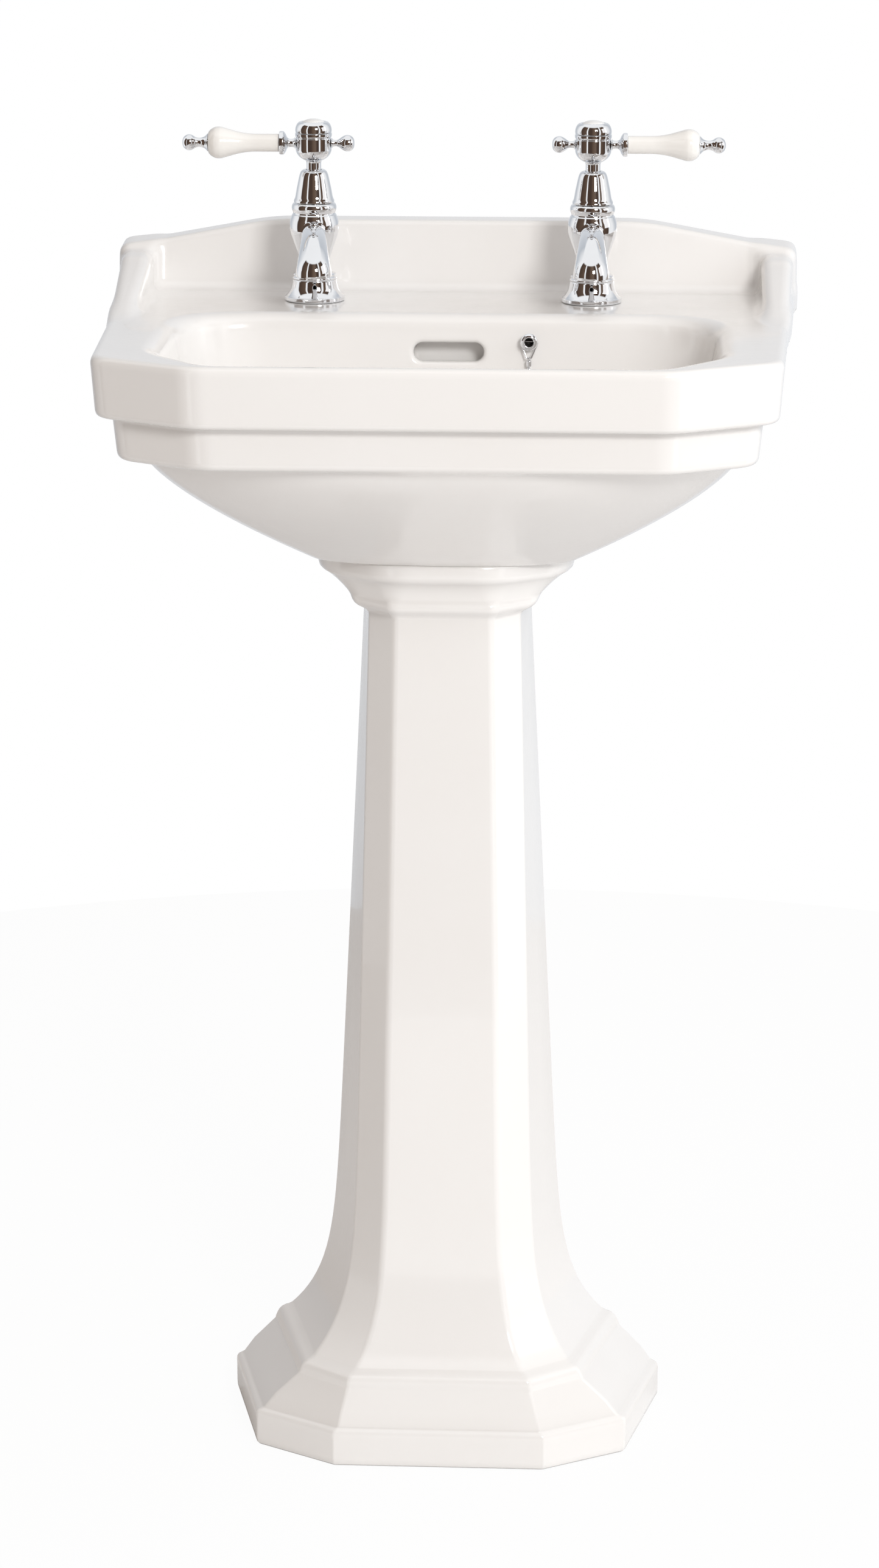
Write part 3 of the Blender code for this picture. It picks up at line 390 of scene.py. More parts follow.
# ---- Soft-edged china from a distance field ----
def soft_min(a, b, k):
    share = np.clip(0.5 + 0.5 * (b - a) / k, 0, 1)
    return b + (a - b) * share - k * share * (1 - share)


def soft_max(a, b, k):
    return -soft_min(-a, -b, k)


def edge(px, py, x0, y0, x1, y1):
    """Distance to the right of the line from (x0, y0) to (x1, y1)."""
    dx, dy = x1 - x0, y1 - y0
    return ((px - x0) * dy - (py - y0) * dx) / np.hypot(dx, dy)


def apron(x, y):
    """Plan of the rim: a front edge, two chamfers and two splayed sides."""
    ax = np.abs(x)
    plan = soft_max(RIM_FRONT_Y - y, edge(ax, y, RIM_FRONT_X, RIM_FRONT_Y, RIM_SIDE_X, RIM_SIDE_Y), 0.0055)
    plan = soft_max(plan, edge(ax, y, RIM_SIDE_X, RIM_SIDE_Y, RIM_BACK_X, WALL_Y), 0.010)
    return soft_max(plan, y - WALL_Y, 0.003)


def bands(plan, z):
    """The rim's two bands, each drawing in a little on its way down."""
    upper = plan + BAND_TAPER * (RIM_Z - z) / (RIM_Z - BAND_1_Z)
    upper = soft_max(upper, z - RIM_Z, 0.0065)
    upper = soft_max(upper, BAND_1_Z - z, 0.0050)
    lower = plan + BAND_TAPER + BAND_STEP + BAND_TAPER * (BAND_1_Z - z) / (BAND_1_Z - BAND_2_Z)
    lower = soft_max(lower, z - BAND_1_Z - 0.020, 0.002)
    lower = soft_max(lower, BAND_2_Z - z, 0.0060)
    return soft_min(upper, lower, 0.0040)


def belly(x, y, z):
    """The swelling underside: an oval front half and nearly straight sides behind it."""
    drop = np.clip((BAND_2_Z - z) / (BAND_2_Z - SEAT_Z), 0, 1)
    t = drop ** BELLY_CURVE
    half = BELLY_HALF_X + (SEAT_HALF_X - BELLY_HALF_X) * t
    front = BELLY_FRONT_Y + (SEAT_FRONT_Y - BELLY_FRONT_Y) * t
    middle = -0.075 + 0.050 * t
    power = 2.5 - 0.4 * t
    ahead = np.maximum(middle - y, 0)
    size = ((np.abs(x) / half) ** power + (ahead / (middle - front)) ** power) ** (1 / power)
    wall = np.hypot(x, ahead) * (1 - 1 / np.maximum(size, 1e-3))
    wall = wall + 0.06 * half * np.clip((y - middle) / (BELLY_BACK_Y - middle), 0, 1)
    slope = (BELLY_HALF_X - SEAT_HALF_X) * BELLY_CURVE * drop ** (BELLY_CURVE - 1) / (BAND_2_Z - SEAT_Z)
    solid = soft_max(wall / np.sqrt(1 + slope ** 2), SEAT_Z - z, 0.0006)
    solid = soft_max(solid, y - BELLY_BACK_Y, 0.012)
    return soft_max(solid, z - BAND_2_Z - 0.012, 0.002)


def boss(x, y, z):
    solid = soft_max(np.abs(x) - 0.036, np.maximum(-0.030 - y, y - BELLY_BACK_Y), 0.006)
    return soft_max(solid, np.maximum(0.6602 - z, z - SEAT_Z - 0.012), 0.002)


WING_TOP = [(-0.070, RIM_Z - 0.0100), (-0.010, RIM_Z - 0.0040), (0.022, RIM_Z + 0.0012),
            (0.034, RIM_Z + 0.0040), (0.130, SHOULDER_Z - 0.0080), (0.140, SHOULDER_Z - 0.0052),
            (0.200, SHOULDER_Z)]


def surround(x, y, z, plan):
    """The splashback and the two wings that run forward from it."""
    ax = np.abs(x)
    lean = UPSTAND_FRONT_Y + 0.012 * (z - RIM_Z) / (UPSTAND_TOP_Z - RIM_Z)
    fall = (UPSTAND_TOP_Z - SHOULDER_Z) / (RIM_BACK_X - 0.012 - UPSTAND_FLAT_X)
    top = soft_max(z - UPSTAND_TOP_Z, z - UPSTAND_TOP_Z + fall * (ax - UPSTAND_FLAT_X), 0.0030)
    back = soft_max(lean - y, y - WALL_Y, 0.004)
    back = soft_max(back, top, 0.0050)
    back = soft_max(back, ax - RIM_BACK_X + 0.001, 0.012)
    ys, zs = np.array(WING_TOP).T
    height = sum(np.interp(y + d, ys, zs) for d in (-0.004, -0.002, 0.0, 0.002, 0.004)) / 5
    wing = soft_max(WING_INNER_X - 0.010 * (WALL_Y - y) - ax, z - height, 0.009)
    wing = soft_max(wing, plan + 0.0004, 0.008)
    solid = soft_min(back, wing, 0.011)
    return np.maximum(solid, RIM_Z - 0.012 - z)


BOWL = np.array([  # height, back, front, half width
    (0.6700, 0.0250, -0.0300, 0.0300), (0.6900, 0.0270, -0.0400, 0.0420),
    (0.6940, 0.0290, -0.0560, 0.0700), (0.7030, 0.0310, -0.0800, 0.1060),
    (0.7180, 0.0325, -0.1060, 0.1360), (0.7400, 0.0340, -0.1340, 0.1600),
    (0.7700, 0.0355, -0.1560, 0.1770), (0.8000, 0.0370, -0.1690, 0.1860),
    (0.8400, 0.0400, -0.1790, 0.1930), (0.8600, 0.0415, -0.1840, 0.1980)])


def bowl_row(z):
    """Back, front and half width at a height, eased so that no crease shows."""
    heights = BOWL[:, 0]
    return [sum(np.interp(z + d, heights, BOWL[:, i]) for d in (-0.004, 0.0, 0.004)) / 3
            for i in (1, 2, 3)]


def bowl(x, y, z):
    back, front, half = bowl_row(z)
    above = bowl_row(z + 0.001)
    depth = back - front
    ax = np.abs(x)
    steep = [np.sqrt(1 + ((b - a) / 0.001) ** 2) for a, b in zip((back, front, half), above)]
    chamfer = edge(ax, y, 0.78 * half, front, half, front + 0.24 * depth)
    soft = np.clip(depth / 0.219, 0.25, 1.0)
    solid = soft_max((front - y) / steep[1], chamfer / np.maximum(steep[1], steep[2]), 0.013 * soft)
    solid = soft_max(solid, (ax - half) / steep[2], 0.014 * soft)
    solid = soft_max(solid, (y - back) / steep[0], 0.062 * soft)
    return soft_max(solid, BOWL_FLOOR_Z - z, 0.004)


def slab(x, y, z, low, high, k):
    """A soft-edged block."""
    middle = [(a + b) / 2 for a, b in zip(low, high)]
    half = [(b - a) / 2 for a, b in zip(low, high)]
    sides = [np.abs(v - m) - h for v, m, h in zip((x, y, z), middle, half)]
    return soft_max(soft_max(sides[0], sides[1], k), sides[2], k)


def basin_field(x, y, z):
    """Negative inside the china, close to a distance near its surface."""
    plan = apron(x, y)
    solid = soft_min(bands(plan, z), belly(x, y, z), 0.0075)
    solid = soft_min(solid, boss(x, y, z), 0.004)
    solid = soft_min(solid, surround(x, y, z, plan), np.interp(y, (-0.020, 0.045), (0.0010, 0.0085)))
    soft = np.interp(z, (0.800, 0.832), (0.0005, 0.0120))
    solid = soft_max(solid, -bowl(x, y, z), soft)
    ax = np.abs(x)
    hollow = np.maximum(ax - 0.205 - 0.106 * (y - 0.052), np.maximum(0.052 - y, y - 0.184))
    hollow = soft_max(hollow, -slab(x, y, z, (-0.034, 0.0, 0.5), (0.034, 0.076, 1.0), 0.002), 0.004)
    hollow = soft_max(hollow, z - 0.830, 0.008)
    solid = soft_max(solid, -hollow, 0.003)
    solid = soft_max(solid, -slab(x, y, z, (-0.0258, 0.048, 0.671), (0.0258, 0.058, 0.8225), 0.002), 0.001)
    span = 0.0255 - 0.00675
    run = np.hypot(np.maximum(ax - span, 0), z - 0.8150) - 0.00675
    mouth = np.maximum(run, np.maximum(0.020 - y, y - 0.052))
    solid = soft_max(solid, -mouth, 0.0040)
    solid = soft_max(solid, -slab(x, y, z, (-0.012, WASTE_Y, 0.6715), (0.012, 0.051, 0.6815), 0.001), 0.001)
    drain = np.maximum(np.hypot(x, y - WASTE_Y) - 0.0215, z - 0.70)
    solid = soft_max(solid, -drain, 0.001)
    taps = np.maximum(np.hypot(ax - TAP_X, y - TAP_Y) - 0.0125, 0.80 - z)
    return soft_max(solid, -taps, 0.001)


def field_surface(field, low, high, step, name, ratio):
    """The zero surface of a field: one point in each crossed cell, then drawn on to the surface."""
    axes = [np.arange(a - 2 * step, b + 3 * step, step) for a, b in zip(low, high)]
    x, y = np.meshgrid(axes[0], axes[1], indexing="ij")
    values = np.stack([field(x, y, z) for z in axes[2]], axis=2)
    inside = values < 0
    cells, spots, flips = [], [], []
    for axis in range(3):
        lower = [slice(1, -1)] * 3
        upper = [slice(1, -1)] * 3
        lower[axis], upper[axis] = slice(0, -1), slice(1, None)
        lower, upper = tuple(lower), tuple(upper)
        start = np.argwhere(inside[lower] != inside[upper])
        start += [0 if a == axis else 1 for a in range(3)]
        i, j, k = start.T
        here = values[i, j, k]
        there = values[i + (axis == 0), j + (axis == 1), k + (axis == 2)]
        spot = start.astype(float)
        spot[:, axis] += here / (here - there)
        u, v = (axis + 1) % 3, (axis + 2) % 3
        around = []
        for du, dv in ((0, 0), (1, 0), (1, 1), (0, 1)):
            cell = start.copy()
            cell[:, u] -= du
            cell[:, v] -= dv
            around.append(np.ravel_multi_index(cell.T, values.shape))
        cells.append(np.stack(around, 1))
        spots.append(spot)
        flips.append(here > 0)
    cells, spots, flips = np.concatenate(cells), np.concatenate(spots), np.concatenate(flips)
    _, corner = np.unique(cells.ravel(), return_inverse=True)
    corner = corner.reshape(-1)
    count = np.bincount(corner)
    points = np.stack([np.bincount(corner, np.repeat(spots[:, a], 4)) / count for a in range(3)], 1)
    points = np.array([a[0] for a in axes]) + points * step
    quads = corner.reshape(-1, 4)
    quads[flips] = quads[flips][:, ::-1]
    points = drawn_on(field, points, 4, step)
    mesh = bpy.data.meshes.new(name)
    mesh.from_pydata(points, [], quads)
    if ratio < 1:
        whole = linked(name, mesh)
        thin = whole.modifiers.new("thin", "DECIMATE")
        thin.ratio = ratio
        graph = bpy.context.evaluated_depsgraph_get()
        mesh = bpy.data.meshes.new_from_object(whole.evaluated_get(graph))
        bpy.data.objects.remove(whole, do_unlink=True)
    points = np.array([v.co for v in mesh.vertices])
    points = drawn_on(field, points, 2, step)
    mesh.vertices.foreach_set("co", points.astype(np.float32).ravel())
    mesh.update()
    mesh.shade_smooth()
    slopes = gradient(field, points)
    mesh.normals_split_custom_set_from_vertices(slopes / np.linalg.norm(slopes, axis=1)[:, None])
    return mesh


def gradient(field, points, reach=2e-4):
    made = np.empty_like(points)
    for a in range(3):
        shift = np.zeros(3)
        shift[a] = reach
        made[:, a] = field(*(points + shift).T) - field(*(points - shift).T)
    return made / (2 * reach) + 1e-12


def drawn_on(field, points, times, most):
    """Moves points along the field's slope on to its zero surface, by no more than a cell."""
    for _ in range(times):
        slope = gradient(field, points)
        move = slope * (field(*points.T) / (slope ** 2).sum(1))[:, None]
        size = np.linalg.norm(move, axis=1)
        move *= np.minimum(1, 0.5 * most / np.maximum(size, 1e-12))[:, None]
        points = points - move
    return points


def make_basin():
    low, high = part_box("basin")
    step = 0.0021
    mesh = field_surface(basin_field, low, high, step, "basin", 0.45)
    piece("basin", mesh, weighted=False)


# ---- Pedestal ----
COLUMN_TOP_Z, LEDGE_Z = 0.634, 0.070
PEDESTAL_BACK_Y = 0.033


def column_plan(z):
    """Front Y, front X, corner X and Y, and back X of the column: tapers, and a flare at the foot."""
    down = COLUMN_TOP_Z - z
    flare = math.exp(-(z - LEDGE_Z) / 0.030)
    return np.array((-0.041 - 0.0400 * down - 0.0296 * flare,
                     0.035 + 0.0168 * down + 0.0190 * flare,
                     0.055 + 0.0232 * down + 0.0293 * flare,
                     -0.018 - 0.0295 * down - 0.0343 * flare,
                     0.0615 + 0.0490 * down + 0.0340 * flare))


def pedestal_rows():
    """Height, the plan's five numbers and its corner radius.  The two tables are in millimetres."""
    foot = [
        (0.0, -104.5, 77.5, 137.2, -70.5, 162.2, 3.5),
        (1.8, -106.1, 78.3, 138.7, -71.3, 163.8, 4.0),
        (6.0, -106.5, 78.5, 139.0, -71.5, 164.0, 4.0),
        (20.0, -106.5, 78.5, 139.0, -71.5, 164.0, 4.0),
        (23.5, -106.7, 78.6, 139.1, -71.6, 164.1, 5.0),
        (26.2, -106.4, 78.4, 138.8, -71.4, 163.8, 6.0),
        (28.0, -105.4, 77.6, 137.6, -70.9, 162.7, 6.0),
        (29.1, -103.8, 76.3, 135.3, -70.4, 160.6, 5.5),
        (30.2, -102.8, 75.1, 132.8, -70.4, 158.3, 5.5),
        (42.0, -101.2, 72.5, 124.0, -70.9, 150.0, 5.5),
        (59.0, -99.1, 68.3, 107.0, -72.0, 133.5, 6.0),
        (61.0, -99.2, 68.1, 106.2, -72.2, 133.0, 6.2),
        (64.0, -99.4, 67.8, 104.8, -72.4, 131.8, 6.6),
        (66.8, -99.0, 67.3, 103.4, -72.2, 130.2, 6.8),
        (68.6, -97.9, 66.5, 101.8, -71.7, 128.4, 6.8),
        (69.8, -96.2, 65.4, 100.0, -70.9, 126.2, 6.8),
        (70.4, -94.5, 64.4, 98.0, -69.8, 124.0, 6.8),
    ]
    capital = [
        (636.5, -41.8, 35.4, 56.8, -18.6, 63.0, 9.0),
        (638.5, -43.2, 36.0, 60.0, -19.8, 66.2, 10.0),
        (640.2, -45.0, 36.6, 63.2, -20.8, 69.0, 11.5),
        (642.0, -46.2, 37.0, 65.2, -21.6, 70.6, 12.5),
        (644.0, -46.6, 37.1, 66.6, -22.0, 71.2, 13.5),
        (645.8, -46.4, 37.0, 67.4, -22.0, 71.4, 14.2),
        (647.4, -45.5, 36.8, 68.0, -21.7, 71.6, 15.0),
        (650.0, -45.7, 36.8, 70.2, -21.7, 73.6, 25.0),
        (654.0, -46.6, 36.9, 74.2, -21.8, 77.5, 30.0),
        (658.0, -48.2, 37.0, 79.0, -21.9, 82.2, 37.0),
        (661.2, -50.5, 37.2, 83.6, -21.8, 86.6, 43.0),
        (663.0, -52.8, 37.5, 86.8, -21.5, 89.6, 47.0),
        (664.2, -55.0, 38.0, 89.2, -21.0, 91.8, 50.0),
        (666.0, -57.0, 38.5, 91.0, -20.5, 93.6, 52.0),
        (669.0, -58.2, 39.0, 91.9, -20.1, 94.4, 54.0),
        (674.5, -58.5, 39.0, 92.0, -20.0, 94.5, 55.0),
        (676.4, -58.3, 38.9, 91.7, -20.0, 94.3, 55.0),
        (676.9, -57.6, 38.6, 91.0, -20.0, 93.6, 55.0),
        (678.0, -55.6, 38.2, 88.0, -19.5, 90.6, 55.0),
    ]
    first, steps = LEDGE_Z + 0.0022, 43
    heights = [first + (COLUMN_TOP_Z - first) * (k / steps) ** 1.7 for k in range(steps + 1)]
    column = [(z, *column_plan(z), 0.0080) for z in heights]
    foot, capital = [[tuple(v / 1000 for v in row) for row in rows] for rows in (foot, capital)]
    return foot + column + capital


def half_plan(front_y, front_x, corner_x, corner_y, back_x, back_y, soft, steps=8):
    """Right half of a plan, from the middle of the front round to the back, corners rounded."""
    corners = [Vector((0, front_y)), Vector((front_x, front_y)), Vector((corner_x, corner_y)),
               Vector((back_x, back_y))]
    made = []
    for before, here, after in zip(corners, corners[1:], corners[2:]):
        back, ahead = (before - here).normalized(), (after - here).normalized()
        half = back.angle(ahead) / 2
        room = 0.48 * min((before - here).length, (after - here).length)
        radius = min(soft, room * math.tan(half))
        centre = here + (back + ahead).normalized() * radius / math.sin(half)
        start = here + back * radius / math.tan(half) - centre
        end = here + ahead * radius / math.tan(half) - centre
        sweep = start.angle(end)
        for k in range(steps + 1):
            t = k / steps
            made.append(centre + (start * math.sin((1 - t) * sweep) + end * math.sin(t * sweep))
                        / math.sin(sweep))
    front = [corners[0].lerp(made[0], t) for t in (0.0, 0.35, 0.7)]
    return front + made + [made[-1].lerp(corners[3], t) for t in (0.5, 1.0)]


def make_pedestal():
    wall = 0.010
    bm = bmesh.new()
    rows = []
    for z, front_y, front_x, corner_x, corner_y, back_x, soft in pedestal_rows():
        skin = half_plan(front_y, front_x, corner_x, corner_y, back_x, PEDESTAL_BACK_Y - 0.002, soft)
        lining = half_plan(front_y + wall, front_x - 0.5 * wall, corner_x - wall,
                           corner_y + 0.5 * wall, back_x - wall, PEDESTAL_BACK_Y - 0.002, soft * 0.6)
        ends = [Vector((back_x - 0.0008, PEDESTAL_BACK_Y - 0.0005)),
                Vector((back_x - 0.0025, PEDESTAL_BACK_Y)),
                Vector((back_x - wall + 0.0025, PEDESTAL_BACK_Y)),
                Vector((back_x - wall + 0.0008, PEDESTAL_BACK_Y - 0.0005))]
        right = skin + ends + lining[::-1]
        left = [Vector((-p.x, p.y)) for p in right[::-1]]
        loop = right + left[1:-1]
        rows.append([bm.verts.new((p.x, p.y, z)) for p in loop])
    count = len(rows[0])
    for low, high in zip(rows, rows[1:]):
        for i in range(count):
            j = (i + 1) % count
            bm.faces.new((low[i], low[j], high[j], high[i]))
    across = len(right) - 1
    turn = len(skin) + 1
    for row in (rows[0], rows[-1]):
        for i in range(-turn, turn):
            bm.faces.new((row[i], row[i + 1], row[across - i - 1], row[across - i]))
    piece("pedestal", mesh_of(bm, "pedestal"))


# ---- Taps ----
def make_tap_body(name, place):
    stem = [(0.0062, -0.052), (TAIL_R, -0.052)]
    for k in range(24):
        h = -0.050 + 0.0018 * k
        stem += [(TAIL_R, h), (TAIL_R - 0.0007, h + 0.0009)]
    stem += [(TAIL_R, 0.0015), (0.0208, 0.0015), (0.0208, GAP), (0.0220, GAP), (0.0223, 0.0012),
             (0.0222, 0.0032), (0.0216, 0.0037)]
    bell = bow([(0.0212, 0.0038), (0.0194, 0.0058), (0.0178, 0.0085), (0.0169, 0.0118), (0.0163, 0.0150)])
    ring = bow([(0.0160, 0.0156), (0.0166, 0.0166), (0.0164, 0.0176), (0.0158, 0.0181)], 4)
    ring += bow([(0.0156, 0.0184), (0.0161, 0.0193), (0.0155, 0.0202), (0.0140, 0.0208)], 4)
    neck = bow([
        (0.0128, 0.0214), (0.0115, 0.0260), (0.0116, 0.0310), (0.0133, 0.0370), (0.0158, 0.0440),
        (0.0177, 0.0500), (0.0182, 0.0540), (0.0177, 0.0590), (0.0164, 0.0632)])
    collar = bow([
        (0.0157, 0.0640), (0.0155, 0.0650), (0.0161, 0.0664), (0.0165, 0.0684), (0.0162, 0.0704),
        (0.0155, 0.0715)], 5)
    inner = [(0.0150, 0.0719), (0.0101, 0.0719), (0.0101, 0.0400), (0.0062, 0.0400)]
    body = turned(stem + bell + ring + neck + collar + inner, 0.0003, 72)
    spout = bow([  # back to front, height, radius
        (-0.0105, 0.0515, 0.0092), (-0.0240, 0.0516, 0.0091), (-0.0380, 0.0503, 0.0093),
        (-0.0510, 0.0466, 0.0101), (-0.0615, 0.0404, 0.0112), (-0.0680, 0.0340, 0.0123),
        (-0.0697, 0.0305, 0.0129), (-0.0697, 0.0273, 0.0132)], 8)
    path = [(0, y, z) for y, z, _ in spout]
    radii = [r for _, _, r in spout]
    radii[-1] -= 0.0007
    radii[-2] -= 0.0001
    body = combined(body, swept(path, radii, 48), "UNION")
    inside = path[14:] + [(0, -0.0697, 0.0250)]
    hole = [r - 0.0026 for r in radii[14:-2]] + [0.0104, 0.0107, 0.0107]
    body = combined(body, swept(inside, hole, 40), "DIFFERENCE")
    part(place, name, body, 42)


def make_tap_fixings(prefix, place):
    bore, under = TAIL_R + 0.0004, -0.012
    part(place, prefix + "_deck_washer", tube(bore, 0.0205, GAP, 0.0012, 0.0003))
    part(place, prefix + "_tophat_washer", turned([
        (bore, under + 0.004), (0.0121, under + 0.004), (0.0121, under - GAP),
        (0.0185, under - GAP), (0.0185, under - 0.0025), (bore, under - 0.0025)], 0.0003))
    top = under - 0.0025 - GAP
    nut = turned([
        (TAIL_R + GAP, top - 0.009), (0.0150, top - 0.009), (0.0175, top - 0.003), (0.0175, top),
        (TAIL_R + GAP, top)], 0.0003)
    size = Matrix.Diagonal((0.006, 0.005, 0.007, 1))
    for k in range(4):
        turn = spun(math.pi * (k + 0.5) / 2, "Z")
        notch = block(turn @ at(0.0172, 0, top - 0.0075) @ size)
        nut = combined(nut, notch, "DIFFERENCE")
    part(place, prefix + "_backnut", nut, 40)


def make_valve(prefix, place):
    """The cartridge inside the tap, and the bonnet over it."""
    sleeve = 0.0095
    cartridge = turned([
        (0.0070, 0.0403), (sleeve, 0.0403), (sleeve, 0.0440), (0.0084, 0.0450), (0.0084, 0.0580),
        (sleeve, 0.0590), (sleeve, 0.0723), (0.0112, 0.0723), (0.0112, 0.0760),
        (0.0072, 0.0770), (0.0072, 0.0880), (0.0044, 0.0880), (0.0044, 0.0540), (0.0070, 0.0540)],
        0.0002)
    part(place, prefix + "_headwork", cartridge)
    egg = bow([
        (0.0149, 0.0736), (0.0147, 0.0742), (0.0139, 0.0760), (0.0133, 0.0790), (0.0127, 0.0825),
        (0.0119, 0.0862), (0.0111, 0.0900), (0.0103, 0.0930), (0.0093, 0.0950), (0.0078, 0.0961),
        (0.0067, 0.0963)], 6)
    inside = [(0.0060, 0.0963), (0.0060, 0.0945)] + bow([
        (0.0064, 0.0932), (0.0092, 0.0878), (0.0110, 0.0815), (0.0115, 0.0762), (0.0122, 0.0723)], 3)
    bonnet = turned([(0.0149, 0.0723)] + egg + inside, 0.0004, 64)
    part(place, prefix + "_bonnet", bonnet)
    for node in ("_fixed_disc", "_moving_disc"):
        carried(prefix + node)


def carried(node):
    """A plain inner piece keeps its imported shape, with its edges eased."""
    mesh = frame["nodes"][node].data.copy()
    made = piece(node, mesh, smooth=False, weighted=False)
    weld = made.modifiers.new("weld", "WELD")
    weld.merge_threshold = 0.00001
    ease = made.modifiers.new("eased_edges", "BEVEL")
    ease.width = 0.0002
    ease.segments = 2
    ease.limit_method = "ANGLE"


def make_handle(prefix, place, facing):
    """The turning pieces.  Facing is -1 where the long lever points along -X, and 1 along +X."""
    spindle_top = 0.1130

    def upright(node, bm):
        part(place, prefix + node, bm)

    def along(node, bm, sign=1):
        """Lays a piece turned about Z down along the long lever, or opposite it."""
        turn = spun(math.pi / 2 * sign * facing, "Y")
        upright(node, moved(bm, at(0, 0, LEVER_H) @ turn))

    upright("_spindle", turned([
        (0, 0.0473), (0.0064, 0.0473), (0.0064, 0.0520), (0.0040, 0.0530), (0.0040, spindle_top),
        (0.0022, spindle_top), (0.0022, 0.1030), (0, 0.1030)], 0.0003, 32))
    cup = bow([
        (0.0054, 0.1012), (0.0060, 0.1026), (0.0082, 0.1038), (0.0104, 0.1054), (0.0121, 0.1075),
        (0.0130, 0.1096)], 5)
    upright("_handle_hub", turned([
        (0.0043, 0.0950), (0.0054, 0.0950)] + cup + [
        (0.0132, 0.1108), (0.0132, 0.1190), (0.0128, 0.1193), (0.0128, 0.1198), (0.0133, 0.1202),
        (0.0135, 0.1212), (0.0135, 0.1228), (0.0100, 0.1228), (0.0100, 0.1178), (0.0026, 0.1178),
        (0.0026, 0.1133), (0.0043, 0.1133)], 0.0003, 72))
    upright("_handle_screw", turned([
        (0, 0.1045), (0.0019, 0.1045), (0.0019, 0.1181), (0.0045, 0.1181), (0.0045, 0.1202),
        (0, 0.1202)], 0.0003, 32))
    dome = bow([
        (0.0134, 0.1248), (0.0131, 0.1270), (0.0121, 0.1293), (0.0106, 0.1308), (0.0094, 0.1311)], 5)
    upright("_index_ring", turned([
        (0.0070, 0.1226), (0.0096, 0.1226), (0.0096, 0.1231), (0.0132, 0.1231)] + dome + [
        (0.0086, 0.1307), (0.0086, 0.1290), (0.0070, 0.1290)], 0.0003, 72))
    upright("_index_disc", turned([
        (0, 0.1293), (0.0083, 0.1293), (0.0083, 0.1306)] + bow([
            (0.0078, 0.1312), (0.0060, 0.1321), (0.0030, 0.1329), (0, 0.1332)], 5),
        0.0003))

    peg, start = 0.0112, 0.0135
    drop = bow([
        (0.0027, 0.0140), (0.0023, 0.0160), (0.0027, 0.0182), (0.0044, 0.0206), (0.0057, 0.0230),
        (0.0060, 0.0250), (0.0055, 0.0273), (0.0040, 0.0291), (0.0020, 0.0299), (0, 0.0300)], 5)
    along("_short_arm", turned([
        (0, peg), (0.0018, peg), (0.0018, start), (0.0036, start), (0.0036, 0.0138)] + drop,
        0.0002, 48), sign=-1)
    neck = bow([
        (0.0033, 0.0141), (0.0029, 0.0158), (0.0030, 0.0178), (0.0040, 0.0194), (0.0064, 0.0205),
        (0.0081, 0.0217)], 5)
    along("_lever_rod", turned([
        (0, peg), (0.0018, peg), (0.0018, start), (0.0042, start), (0.0042, 0.0138)] + neck + [
        (0.0085, 0.0222), (0.0086, 0.0236), (0.0084, 0.0250), (0.0020, 0.0250), (0.0020, 0.0815),
        (0, 0.0815)], 0.0003))
    side = bow([
        (0.0065, 0.0300), (0.0065, 0.0400), (0.0067, 0.0470), (0.0078, 0.0545), (0.0098, 0.0620),
        (0.0113, 0.0672), (0.0116, 0.0698), (0.0112, 0.0726), (0.0098, 0.0753), (0.0082, 0.0770)], 6)
    along("_lever_grip", turned([(0.0024, 0.0253), (0.0065, 0.0253)] + side
                                + [(0.0068, 0.0775), (0.0024, 0.0775)], 0.0006))
    knob = bow([
        (0.0062, 0.0784), (0.0046, 0.0800), (0.0036, 0.0822), (0.0033, 0.0846), (0.0040, 0.0872),
        (0.0053, 0.0893), (0.0058, 0.0912), (0.0055, 0.0934), (0.0040, 0.0955), (0.0018, 0.0965),
        (0, 0.0966)], 5)
    along("_lever_tip", turned([(0, 0.0820), (0.0023, 0.0820), (0.0023, 0.0778), (0.0068, 0.0778)]
                               + knob, 0.0003, 48))


def make_taps():
    for prefix, sign in (("hot", -1), ("cold", 1)):
        place = at(sign * TAP_X, TAP_Y, RIM_Z)
        turn = spun(HOT_TAP_TURN if sign < 0 else 0.0, "Z")
        make_tap_body(prefix + "_tap_body", place @ turn)
        make_tap_fixings(prefix, place)
        make_valve(prefix, place)
        make_handle(prefix, place, sign)


# ---- Waste, plug and stay ----
AT_WASTE = at(0, WASTE_Y, 0)


def hexagon(radius, low, high, bore):
    """A hexagonal nut with its corners turned off at both ends."""
    end, slope = radius * 0.92, 0.12 * (high - low)
    nut = turned([
        (bore, low), (end, low), (radius, low + slope), (radius, high - slope), (end, high),
        (bore, high)], 0.0002, 48)
    flats = bmesh.new()
    spots = [(1.02 * radius * math.cos(math.pi * k / 3), 1.02 * radius * math.sin(math.pi * k / 3))
             for k in range(6)]
    rows = [[flats.verts.new((*spot, z)) for spot in spots] for z in (low - 0.01, high + 0.01)]
    for k in range(6):
        flats.faces.new((rows[0][k], rows[0][k - 1], rows[1][k - 1], rows[1][k]))
    flats.faces.new(rows[0])
    flats.faces.new(rows[1])
    bmesh.ops.recalc_face_normals(flats, faces=flats.faces)
    return combined(nut, flats, "INTERSECT")


